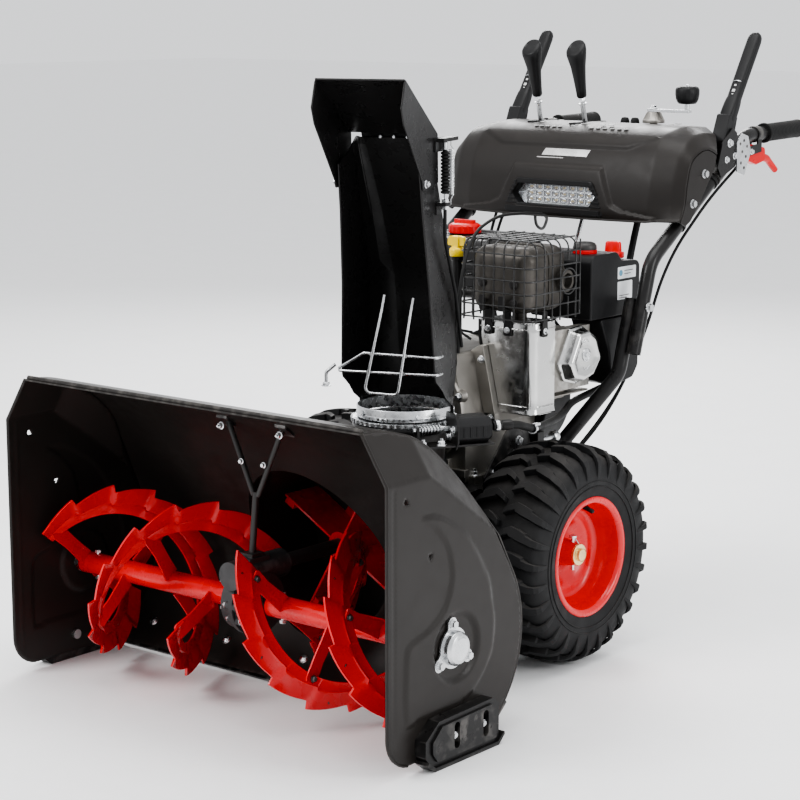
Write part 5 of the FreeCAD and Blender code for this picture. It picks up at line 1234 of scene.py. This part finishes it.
def make_crankcase_detail():
    """Raised parts and bolts of the crankcase casting, and the leads beside it."""
    cast = Piece()
    cast.lathe([(0, 88), (0, 96), (4, 98), (12, 98)], (-6, 634, 450), (0, 1, 0), 64)
    cast.lathe([(0, 50), (0, 60), (8, 64), (14, 88), (16, 92)], (-6, 624, 450), (0, 1, 0), 64)
    for k in range(8):
        a = math.radians(20 + 45 * k)
        c, s = math.cos(a), math.sin(a)
        cast.lathe([(0, 0), (0, 10), (10, 11), (14, 12)], (-6 + 98 * c, 630, 450 + 98 * s), (0, 1, 0), 24)
        turn = Matrix.Translation((-6, 628, 450)) @ Matrix.Rotation(-a, 4, "Y")
        rib = [turn @ Vector(p) for p in ((52, 0, -2.5), (92, 6, -2.5), (92, 12, -2.5), (52, 12, -2.5))]
        top = [turn @ Vector(p) for p in ((52, 0, 2.5), (92, 6, 2.5), (92, 12, 2.5), (52, 12, 2.5))]
        cast.rings([rib, top])
    cast.box((-118, 100), (632, 646), (332, 346))
    for x in (-100, -60, -20, 20, 60):
        cast.box((x, x + 5), (628, 644), (332, 364))
    cast.prism(soft_outline([(60, 560), (96, 430), (120, 430), (112, 470), (88, 575)], 6), "y", 700, 716)
    cast.box((66, 118), (700, 712), (428, 446))
    cast.done("casting_detail", "cast_alloy", "chassis", bevel=1.2, segments=3)
    bolts = Piece()
    for k in range(8):
        a = math.radians(20 + 45 * k)
        bolts.bolt((-6 + 98 * math.cos(a), 630, 450 + 98 * math.sin(a)), (0, -1, 0), 9.5, 6)
    for x, y, z in ((84, 699.6, 437), (108, 699.6, 437), (86, 699.6, 545)):
        bolts.bolt((x, y, z), (0, -1, 0), 9.5, 6, stud=3)
    for x in (-118, 98):
        for y in (665, 835):
            bolts.bolt((x, y, 332), (0, 0, 1), 12, 7, stud=5)
    bolts.done("casting_bolts", "zinc", "chassis", bevel=0.3)
    wires = Piece()
    wires.tube(rounded([(60, 702, 580), (30, 690, 600), (24, 668, 560), (40, 655, 500), (60, 660, 420),
                        (80, 690, 380)], 18), 2.6, 8)
    wires.tube(rounded([(-40, 700, 562), (-10, 690, 590), (20, 700, 596), (50, 720, 590)], 14), 2.6, 8)
    wires.tube(rounded([(160, 1000, 606), (120, 1010, 590), (60, 1000, 560), (20, 996, 600), (0, 990, 640)],
                       20), 3.2, 8)
    wires.done("engine_leads", "rubber", "chassis")


make_crankcase_detail()


# ---- console ------------------------------------------------------------------------------------
DASH = (
    (285.0, ((1064, 783), (1080, 815), (1086, 852), (1100, 893), (1130, 912), (1160, 916), (1190, 905))),
    (262.0, ((1060, 782), (1068, 812), (1076, 862), (1096, 912), (1130, 938), (1180, 946), (1222, 940))),
    (215.0, ((1056, 781), (1054, 806), (1066, 872), (1092, 926), (1132, 950), (1200, 957), (1262, 953))),
    (0.0, ((1052, 780), (1048, 804), (1060, 874), (1088, 928), (1132, 952), (1200, 958), (1266, 954))),
)
SLOTS = ((-23.0, 1140.0, 1250.0), (-133.0, 1150.0, 1235.0))
ARCH = ((-104, 878), (104, 878), (134, 808), (158, 798), (228, 789), (236, 770), (-236, 770), (-228, 789),
        (-158, 798), (-134, 808))


def inside_depth(p, outline):
    """Distance inside a closed outline, negative outside."""
    inside = False
    for i in range(len(outline)):
        (ax, ay), (bx, by) = outline[i], outline[i - 1]
        if (ay > p[1]) != (by > p[1]) and p[0] < (bx - ax) * (p[1] - ay) / (by - ay) + ax:
            inside = not inside
    depth = outline_distance(p, outline)
    return depth if inside else -depth


def outline_distance(p, outline):
    """Shortest distance from a point to a closed outline."""
    best = 1e9
    for i in range(len(outline)):
        (ax, ay), (bx, by) = outline[i - 1], outline[i]
        dx, dy = bx - ax, by - ay
        t = max(0.0, min(1.0, ((p[0] - ax) * dx + (p[1] - ay) * dy) / (dx * dx + dy * dy)))
        best = min(best, math.hypot(p[0] - ax - t * dx, p[1] - ay - t * dy))
    return best


def dash_base(x, t):
    """Point of the console's outer skin; t runs 0..6 from the lower front edge over the deck."""
    reach = min(abs(x), 285.0)
    for (far, far_chain), (near, near_chain) in zip(DASH, DASH[1:]):
        if near <= reach <= far:
            mix = (reach - near) / (far - near)
            mix = mix if near > 0 else mix ** 2.0
            chain = [tuple(b + (a - b) * mix for a, b in zip(p, q)) for p, q in zip(far_chain, near_chain)]
            break
    line = smooth_line(chain, 12)
    place = max(0.0, min(t, 5.999)) * 12
    i = int(place)
    f = place - i
    return tuple(a + (b - a) * f for a, b in zip(line[i], line[i + 1]))


def dash_point(x, t, lift=0.0):
    """Point on the console's skin with its pressed relief, lifted off it by a distance."""
    y, z = dash_base(x, t)
    y1, z1 = dash_base(x, max(t - 0.06, 0.0))
    y2, z2 = dash_base(x, min(t + 0.06, 5.99))
    dy, dz = y2 - y1, z2 - z1
    size = math.hypot(dy, dz)
    ny, nz = -dz / size, dy / size
    relief = 0.0
    if t < 3.4:
        relief += 5.5 * ease((inside_depth((x, z), ARCH) + 2.0) / 4.0)
        relief += 4.0 * ease((z - 917 - max(0.0, abs(x) - 150) * 0.35 + 2.5) / 5.0) * ease((4.2 - t) / 0.8)
    if t < 0.35:
        relief += 2.2 * ease((0.30 - t) / 0.2)
    relief += lift
    return Vector((x, y + ny * relief, z + nz * relief))


def make_dash():
    """Console skin with its ends, slots, marks, badge and plugs."""
    lines = set(range(-284, 285, 4))
    for middle, _, _ in SLOTS:
        for edge in (middle - 7, middle + 7):
            lines = {x for x in lines if abs(x - edge) > 2.0} | {edge}
    lines = sorted(lines)
    steps = [k / 14 for k in range(0, 85)]
    shell = Piece()
    grid = [shell.verts([dash_point(x, t) for t in steps]) for x in lines]
    window = ((-88, 845), (88, 845), (104, 822), (88, 799), (-88, 799), (-104, 822))
    for i in range(len(lines) - 1):
        for j in range(len(steps) - 1):
            x = (lines[i] + lines[i + 1]) / 2
            y, z = dash_base(x, (steps[j] + steps[j + 1]) / 2)
            if y < 1100 and inside_depth((x, z), window) > 0:
                continue
            if z > 930 and any(abs(x - m) < 7 and a < y < b for m, a, b in SLOTS):
                continue
            shell.face([grid[i][j], grid[i][j + 1], grid[i + 1][j + 1], grid[i + 1][j]])
    shell.done("console_skin", "dash_plastic", "chassis", replaces=["dashboard"], solid=3.0,
               sharp=40)
    ends = Piece()
    chain = smooth_line(DASH[0][1], 6)
    end = chain + [(1186, 882), (1160, 852), (1128, 812), (1100, 783), (1082, 775)]
    for sign, _ in SIDES:
        ends.rings([[(sign * x, y, z) for y, z in end] for x in (280.5, 285.5)])
    ends.done("console_ends", "dash_plastic", "chassis", bevel=1.6, segments=3, sharp=60)
    rims = Piece()
    for middle, low, high in SLOTS:
        route = [(middle + dx, y) for dx, y in ((-8, low - 1), (8, low - 1), (8, high + 1), (-8, high + 1))]
        ring = []
        for x, y in soft_outline(route, 4, 3):
            ring.append((x, y, 958.2))
        rims.tube(ring, 1.3, 6, closed=True)
    for k in range(7):
        rims.box((-30.2, -25.5), (1148 + 14 * k, 1154 + 14 * k), (955, 957.6))
    rims.done("slot_rims", "black_plastic", "chassis", bevel=0.5)
    marks = Piece()
    for k in range(6):
        y = 1150 + 16 * k
        marks.box((-8, 6 - k * 0.8), (y, y + 2.2), (957.6, 959.0))
    for x, y in ((-108, 1160), (-108, 1222), (-160, 1190), (22, 1200), (52, 1140), (72, 1140), (150, 1236),
                 (150, 1264)):
        marks.prism(soft_outline([(x - 5, y - 5), (x + 5, y - 5), (x + 5, y + 5), (x - 5, y + 5)], 2, 3), "z",
                    957.4,
                    959.1)
    for x in (-104, -90, -76, -60, -46, 30, 46, 62, 80, 96, 112):
        marks.box((x, x + 9), (1122, 1127), (951.6, 953.4))
    marks.done("deck_marks", "icon", "chassis", bevel=0.2)
    badge = Piece()
    rows = []
    for k in range(14):
        x = -46 + 108 * k / 13
        steps_up = [2.40 + 0.03 * i for i in range(9)]
        rows.append([dash_point(x, 2.40, 0.1)] + [dash_point(x + 25 * (t - 2.40), t, 1.8) for t in steps_up] +
                    [dash_point(x + 6, 2.64, 0.1)])
    badge.rings(rows)
    badge.tube([dash_point(-56 + 8 * k, 2.33, 0.6) for k in range(9)], 1.4, 6)
    badge.done("blank_badge", "badge", "chassis", bevel=0.3)
    plugs = Piece()
    for x in (34, 58):
        plugs.lathe([(0, 0), (0, 9), (4, 9.5), (10, 8), (13, 6), (14, 0)], (x, 1246, 955), (0, 0, 1), 28)
    plugs.done("deck_plugs", "rubber", "chassis", bevel=0.4)


make_dash()


def make_lamp():
    """Lamp in the console: bezel, tray, reflector cups and light sources."""
    hexagon = [(-84, 842), (84, 842), (100, 822), (84, 802), (-84, 802), (-100, 822)]
    frame_outline = [(-90, 853), (90, 853), (108, 820), (124, 784), (-124, 784), (-108, 820)]
    bezel = Piece()

    def loop(outline, radius, y, scale=1.0):
        """Rounded outline scaled about the lamp's middle at one depth."""
        return [(x * scale, y, 822 + (z - 822) * scale) for x, z in soft_outline(outline, radius, 5)]

    rows = [loop(frame_outline, 7, 1056), loop(frame_outline, 7, 1045), loop(frame_outline, 7, 1042.5, 0.975),
            loop(hexagon, 5, 1042.5, 1.04), loop(hexagon, 5, 1044, 1.0), loop(hexagon, 5, 1061, 0.98)]
    bezel.rings(rows, caps=False)
    for sign in (-1, 1):
        for k in range(6):
            z = 846 - 8.5 * k
            x0 = 88 + max(0.0, 13 - abs(z - 822)) * 1.0
            x1 = 92 + (853 - z) * 0.46
            if x1 - x0 > 4:
                bezel.box(sorted((sign * x0, sign * x1)), (1040.6, 1043.5), (z - 1.4, z + 1.4))
    bezel.box((-112, 112), (1040.2, 1043.5), (786.5, 797))
    bezel.done("lamp_bezel", "black_plastic", "chassis", bevel=0.8, segments=3, sharp=30)
    cups = Piece()
    cups.prism([(-90, 848), (90, 848), (106, 822), (90, 796), (-90, 796), (-106, 822)], "y", 1080, 1092)
    tray = [(-90, 848), (90, 848), (106, 822), (90, 796), (-90, 796), (-106, 822)]
    cups.rings([loop(tray, 3, 1081), loop(tray, 3, 1064.5), loop(hexagon, 3, 1064.5), loop(hexagon, 3, 1080)],
               caps=False)
    cups.done("lamp_tray", "reflector", "chassis", replaces=["headlight_housing"])
    back = Piece()
    back.prism(soft_outline([(-94, 852), (94, 852), (112, 822), (94, 792), (-94, 792), (-112, 822)], 6, 4), "y",
               1092.3,
               1104)
    back.done("lamp_back", "black_plastic", "chassis", bevel=2.0, segments=3)
    bowls = Piece()
    for row in range(3):
        for column in range(8):
            x = -70 + 20.0 * column
            z = 822 + 12.5 * (row - 1)
            profile = [(1079, 0), (1079, 1.8), (1077.5, 3.2), (1074, 4.8), (1069, 5.9), (1069, 6.3)]
            bowls.lathe([(y, r) for y, r in profile], (x, 0, z), (0, 1, 0), 20)
    for row in range(4):
        bowls.box((-82, 82), (1069, 1079), (801.9 + 12.5 * row, 804.3 + 12.5 * row))
    for column in range(9):
        bowls.box((-80.8 + 20 * column, -79.2 + 20 * column), (1069, 1079), (803, 841))
    bowls.done("lamp_bowls", "reflector", "chassis", solid=0.5)
    sources = Piece()
    for row in range(3):
        for column in range(8):
            sources.lathe([(1077, 0), (1077, 1.5), (1074.6, 1.5), (1074.2, 0)],
                          (-70 + 20.0 * column, 0, 809.5 + 12.5 * row), (0, 1, 0), 12)
    sources.done("lamp_sources", "yellow_zinc", "chassis")


make_lamp()


# ---- hand levers, crank and grips ---------------------------------------------------------------
def make_hand_lever(x, name):
    """Hand lever with its tall knob."""
    axis = Vector((0, -32, 132)).normalized()
    start = Vector((x, 1205, 880))
    rod = Piece()
    rod.lathe([(-14, 0), (-14, 11), (14, 11), (14, 4.1), (-14, 4.1)], start, (1, 0, 0), 32, closed=False)
    rod.lathe([(9, 0), (9, 5), (136, 5), (136, 0)], start, axis, 20)
    rod.bolt(start + axis * 124, axis, 13, 9, flange=False)
    rod.lathe([(118, 5), (118, 8), (121, 8), (121, 5)], start, axis, 24)
    rod.done(name + "_rod", "zinc", name, replaces=[name], bevel=0.4)
    knob = Piece()
    side = Vector((1, 0, 0))
    fore = axis.cross(side).normalized()
    rows = []
    shape = ((133, 8.0, 8.0, 0), (136, 9.5, 9.5, 0), (150, 10.2, 10.2, 0), (172, 12.2, 11.5, 0),
             (196, 15.0, 13.2, 0),
             (212, 18.4, 15.6, 3), (226, 20.6, 17.6, 8), (233, 20.2, 17.2, 10), (236.5, 17.8, 15.2, 10.5),
             (237.0, 10.0, 8.5, 6), (236.6, 2.0, 1.8, 1))
    for along, wide, deep, tilt in shape:
        row = []
        for k in range(36):
            a = 2 * math.pi * k / 36
            c, s = math.cos(a), math.sin(a)
            c2 = math.copysign(abs(c) ** 0.85, c)
            s2 = math.copysign(abs(s) ** 0.85, s)
            row.append(start + axis * (along + tilt * s) + side * wide * c2 + fore * deep * s2)
        rows.append(row)
    knob.rings(rows)
    knob.done(name + "_knob", "black_plastic", name, sharp=60)


for LEVER_X, LEVER in ((-133.0, "deflector_lever"), (-23.0, "speed_lever")):
    make_hand_lever(LEVER_X, LEVER)


def make_hand_crank():
    """Hand crank with its base, arm and drum knob."""
    x, y = 100.0, 1250.0
    base = Piece()
    base.lathe([(959, 0), (959, 22), (960, 22.4), (965, 22), (968, 19), (976, 15), (981, 13.5), (981, 0)],
               (x, y, 0),
               (0, 0, 1), 40)
    for k in range(8):
        a = math.pi * k / 4
        base.tube([(x + 22 * math.cos(a), y + 22 * math.sin(a), 963),
                   (x + 14 * math.cos(a), y + 14 * math.sin(a), 979)],
                  1.2, 6)
    base.lathe([(925, 0), (925, 8), (959, 8)], (x, y, 0), (0, 0, 1), 24)
    base.done("crank_base", "cast_alloy", "crank", replaces=["chute_crank"], bevel=0.5)
    arm = Piece()
    arm.prism(soft_outline([(x - 12, y - 9), (x + 60, y - 6.5), (x + 86, y - 6.5), (x + 86, y + 6.5),
                            (x + 60, y + 6.5),
                            (x - 12, y + 9)], [7, 20, 5, 5, 20, 7], 4), "z", 981.3, 987)
    arm.bolt((x, y, 987), (0, 0, 1), 11, 6)
    arm.lathe([(987, 0), (987, 5), (1002, 5), (1002, 0)], (x + 78, y, 0), (0, 0, 1), 20)
    arm.lathe([(1032, 0), (1032, 3.4), (1037, 3.2), (1038, 0)], (x + 78, y, 0), (0, 0, 1), 16)
    arm.done("crank_arm", "zinc", "crank", bevel=0.8, segments=3)
    knob = Piece()
    rows = []
    for z, r in ((999, 13), (999.5, 17), (1003, 20), (1009, 22.5), (1018, 24), (1027, 24), (1031.5, 22),
                 (1034, 17), (1034.4, 8)):
        rows.append([(x + 78 + (r - 0.5 * (k % 3 == 0)) * math.cos(2 * math.pi * k / 60),
                      y + (r - 0.5 * (k % 3 == 0)) * math.sin(2 * math.pi * k / 60), z) for k in range(60)])
    knob.rings(rows)
    knob.done("crank_knob", "black_plastic", "crank", sharp=60)


make_hand_crank()


def make_side_controls(sign, side):
    """Grip, clutch paddle, folded plates and steering trigger of one side."""
    grip = Piece()
    profile = [(0, 14.2), (0, 19.6), (1.5, 20.4), (5, 20.4), (7, 18.2)]
    for k in range(22):
        s = 9 + 5.6 * k
        profile += [(s, 17.2), (s + 1.2, 18.1), (s + 3.6, 18.1), (s + 4.8, 17.2)]
    profile += [(133, 17.4), (136, 19.0), (141, 18.6), (143.5, 16), (144, 0)]
    grip.lathe(profile, (sign * 255, 1418, 936.7), (0, 213, 5), 40)
    grip.done("grip_ribs_" + side, "rubber", "chassis", replaces=["hand_grips"])
    axis = Vector((0, 99, 155)).normalized()
    start = Vector((sign * 255, 1274, 968))
    across = Vector((1, 0, 0))
    deep = axis.cross(across).normalized()
    lever = Piece()
    rows = []
    shape = ((-4, 14.5, 11), (0, 16, 13), (6, 16.5, 13.5), (34, 15.5, 13), (46, 14.5, 12), (49, 13.6, 11.2),
             (72, 13.5, 11), (110, 13.8, 10.6), (150, 14.2, 10.4), (182, 14.2, 10.2), (191, 13, 9.4),
             (197, 10, 7.4),
             (200, 6, 4.6), (200.8, 2, 1.5))
    for along, wide, thick in shape:
        row = []
        for k in range(32):
            a = 2 * math.pi * k / 32
            c, s = math.cos(a), math.sin(a)
            power = 0.62
            row.append(start + axis * along + across * wide * math.copysign(abs(c) ** power, c)
                       + deep * thick * math.copysign(abs(s) ** power, s))
        rows.append(row)
    lever.rings(rows)
    lever.done("paddle_" + side, "black_plastic", "clutch_lever_" + side,
               replaces=["clutch_lever_" + side], sharp=50)
    socket = Piece()
    outline = soft_outline([(1244, 912), (1240, 930), (1262, 982), (1292, 976), (1278, 930), (1268, 912)], 5, 4)
    socket.rings([[(sign * x, y, z) for y, z in outline] for x in (239.8, 270.2)])
    socket.done("paddle_socket_" + side, "black_plastic", "clutch_lever_" + side, bevel=2.2,
                segments=4,
                sharp=50)
    ring = Piece()
    ring.lathe([(83, 10), (83, 13.3), (84.4, 13.3), (84.4, 10)], start, axis, 32)
    ring.done("paddle_line_" + side, "zinc", "clutch_lever_" + side)
    marks = Piece()
    for along, wide, tall in ((74, 4, 4), (62, 5.5, 6), (54, 3, 2)):
        middle = start + axis * along + deep * (11.4 if deep.y < 0 else -11.4)
        ring_points = [middle + across * dx * wide + axis * dz * tall
                       for dx, dz in ((-.6, -.5), (.6, -.5), (.6, .5), (-.6, .5))]
        lift = deep * (0.5 if deep.y < 0 else -0.5)
        marks.rings([ring_points, [p + lift for p in ring_points]])
    marks.done("paddle_marks_" + side, "icon", "clutch_lever_" + side)
    trigger = Piece()
    body = soft_outline([(1334, 915), (1362, 917), (1414, 908), (1417, 882), (1382, 875), (1336, 888)], 6, 4)
    trigger.rings([[(sign * x, y, z) for y, z in body] for x in (246.2, 263.8)])
    trigger.tube(rounded([(sign * 255, 1400, 893), (sign * 255, 1436, 884), (sign * 255, 1472, 858)], 30),
                 lambda t: 8.0 - 1.4 * t * t, 16)
    trigger.done("trigger_" + side + "_body", "red_plastic", "steering_trigger_" + side,
                 replaces=["steering_trigger_" + side], bevel=2.4, segments=4, sharp=50)
    plate = Piece()
    outline = soft_outline([(1280, 926), (1300, 942), (1322, 936), (1334, 905), (1310, 858), (1282, 866)], 5, 4)
    plate.rings([[(sign * x, y, z) for y, z in outline] for x in (274.0, 277.4)])
    plate.done("cable_plate_" + side, "zinc", "chassis", bevel=0.4)
    # Thin dark discs on the cable plate stand in for its holes: painted shade of the openings, not real holes.
    hole_shade = Piece()
    for y, z in ((1292, 922), (1306, 928), (1318, 916), (1300, 906), (1314, 896), (1296, 884), (1308, 874)):
        hole_shade.lathe([(0, 0), (0, 3.2), (0.25, 3.2), (0.25, 0)], (sign * 277.4, y, z), (sign, 0, 0), 18)
    hole_shade.done("plate_hole_shade_" + side, "dark_steel", "chassis")
    bolts = Piece()
    bolts.bolt((sign * 274.2, 1256, 925), (sign, 0, 0), 11, 5)
    bolts.bolt((sign * 268.2, 1352, 903), (sign, 0, 0), 8, 4)
    for y, z in ((1246, 893), (1276, 899)):
        bolts.bolt((sign * 274.2, y, z), (sign, 0, 0), 9, 4)
    bolts.done("lever_bolts_" + side, "zinc", "chassis", bevel=0.3)


for SIGN, SIDE in SIDES:
    make_side_controls(SIGN, SIDE)


# ---- small fittings -----------------------------------------------------------------------------
def make_console_fittings():
    """Clamps, a pin and cable ties on the handles and the housing."""
    zinc = Piece()
    zinc.lathe([(-6, 7.2), (-6, 9.0), (6, 9.0), (6, 7.2)], (285, 590, 455), (-45, 100, -13), 28, closed=False)
    zinc.box((288, 296), (582, 598), (462, 466))
    for sign in (-1, 1):
        zinc.lathe([(0, 14.3), (0, 16.2), (14, 16.2), (14, 14.3)], (sign * 255, 1300, 905.2), (0, 337, 223), 32)
    zinc.done("clamps", "zinc", "chassis", bevel=0.4)
    pin = Piece()
    pin.tube(rounded([(60, 292, 549), (60, 292, 572), (74, 300, 586)], 8), 3.2, 10)
    pin.bolt((60, 292, 548), (0, 0, 1), 11, 6)
    pin.done("wrap_pin", "zinc", "chassis", bevel=0.3)
    guide = Piece()
    for sign in (-1, 1):
        for along in (0.28, 0.62, 0.9):
            y = 1008 + (1345 - 1008) * along
            z = 712 + (935 - 712) * along
            guide.lathe([(-3, 14.1), (-3, 16.6), (3, 16.6), (3, 14.1)], (sign * 255, y, z), (0, 337, 223), 28)
            guide.tube(rounded([(sign * 255, y, z + 16), (sign * 247, y, z + 22), (sign * 240, y, z + 14)], 5),
                       1.4, 6)
    guide.done("cable_ties", "rubber", "chassis", bevel=0.3)


make_console_fittings()


def make_gearbox_detail():
    """Ring of bolts on the auger gearbox."""
    bolts = Piece()
    for angle in (-150, -100, -50, 0, 180):
        a = math.radians(angle)
        centre = (165 + 50 * math.cos(a), 182 + 50 * math.sin(a))
        bolts.bolt((13.1, *centre), (1, 0, 0), 10, 6)
        bolts.bolt((-13.1, *centre), (-1, 0, 0), 10, 6, stud=3)
    bolts.done("gearbox_bolts", "zinc", "chassis", bevel=0.3)


make_gearbox_detail()


# ---- studio -------------------------------------------------------------------------------------
def studio():
    """Pale floor, soft light and the camera."""
    bpy.ops.mesh.primitive_plane_add(size=60, location=(0, 0, -0.0005))
    floor = bpy.context.object
    floor.name = "floor"
    floor.data.materials.append(surface("floor", (0.94, 0.94, 0.94), 0.6, bump=0.03, grain=30, tint=0.01))
    world = bpy.data.worlds.new("studio")
    bpy.context.scene.world = world
    world.use_nodes = True
    world.node_tree.nodes["Background"].inputs["Color"].default_value = (0.97, 0.98, 1.0, 1)
    world.node_tree.nodes["Background"].inputs["Strength"].default_value = 1.0

    def lamp(name, place, target, size, power):
        """Soft area lamp aimed at a point."""
        light = bpy.data.lights.new(name, "AREA")
        light.shape = "RECTANGLE"
        light.size, light.size_y = size
        light.energy = power
        obj = bpy.data.objects.new(name, light)
        bpy.context.scene.collection.objects.link(obj)
        obj.location = place
        obj.rotation_euler = (Vector(target) - Vector(place)).to_track_quat("-Z", "Y").to_euler()

    lamp("key", (-1.4, -3.4, 3.2), (0, -0.3, 0.4), (1.6, 1.6), 95)
    lamp("side", (4.0, 0.4, 2.0), (0, 0, 0.5), (1.2, 2.4), 60)
    lamp("back", (-2.2, 3.0, 2.6), (0, 0, 0.6), (2.0, 1.6), 80)
    lamp("overhead", (0.2, -0.2, 3.6), (0, 0, 0), (2.4, 2.4), 70)

    camera = bpy.data.cameras.new("camera")
    camera.lens = 97.65
    camera.sensor_width = 36.0
    camera.clip_end = 100.0
    obj = bpy.data.objects.new("camera", camera)
    bpy.context.scene.collection.objects.link(obj)
    obj.location = (2.4942, -3.2587, 1.2022)
    turn, tilt = math.radians(39.333), math.radians(10.442)
    ahead = Vector((-math.sin(turn) * math.cos(tilt), math.cos(turn) * math.cos(tilt), -math.sin(tilt)))
    obj.rotation_euler = ahead.to_track_quat("-Z", "Y").to_euler()
    bpy.context.scene.camera = obj
    bpy.context.scene.view_settings.look = "AgX - Medium High Contrast"


studio()
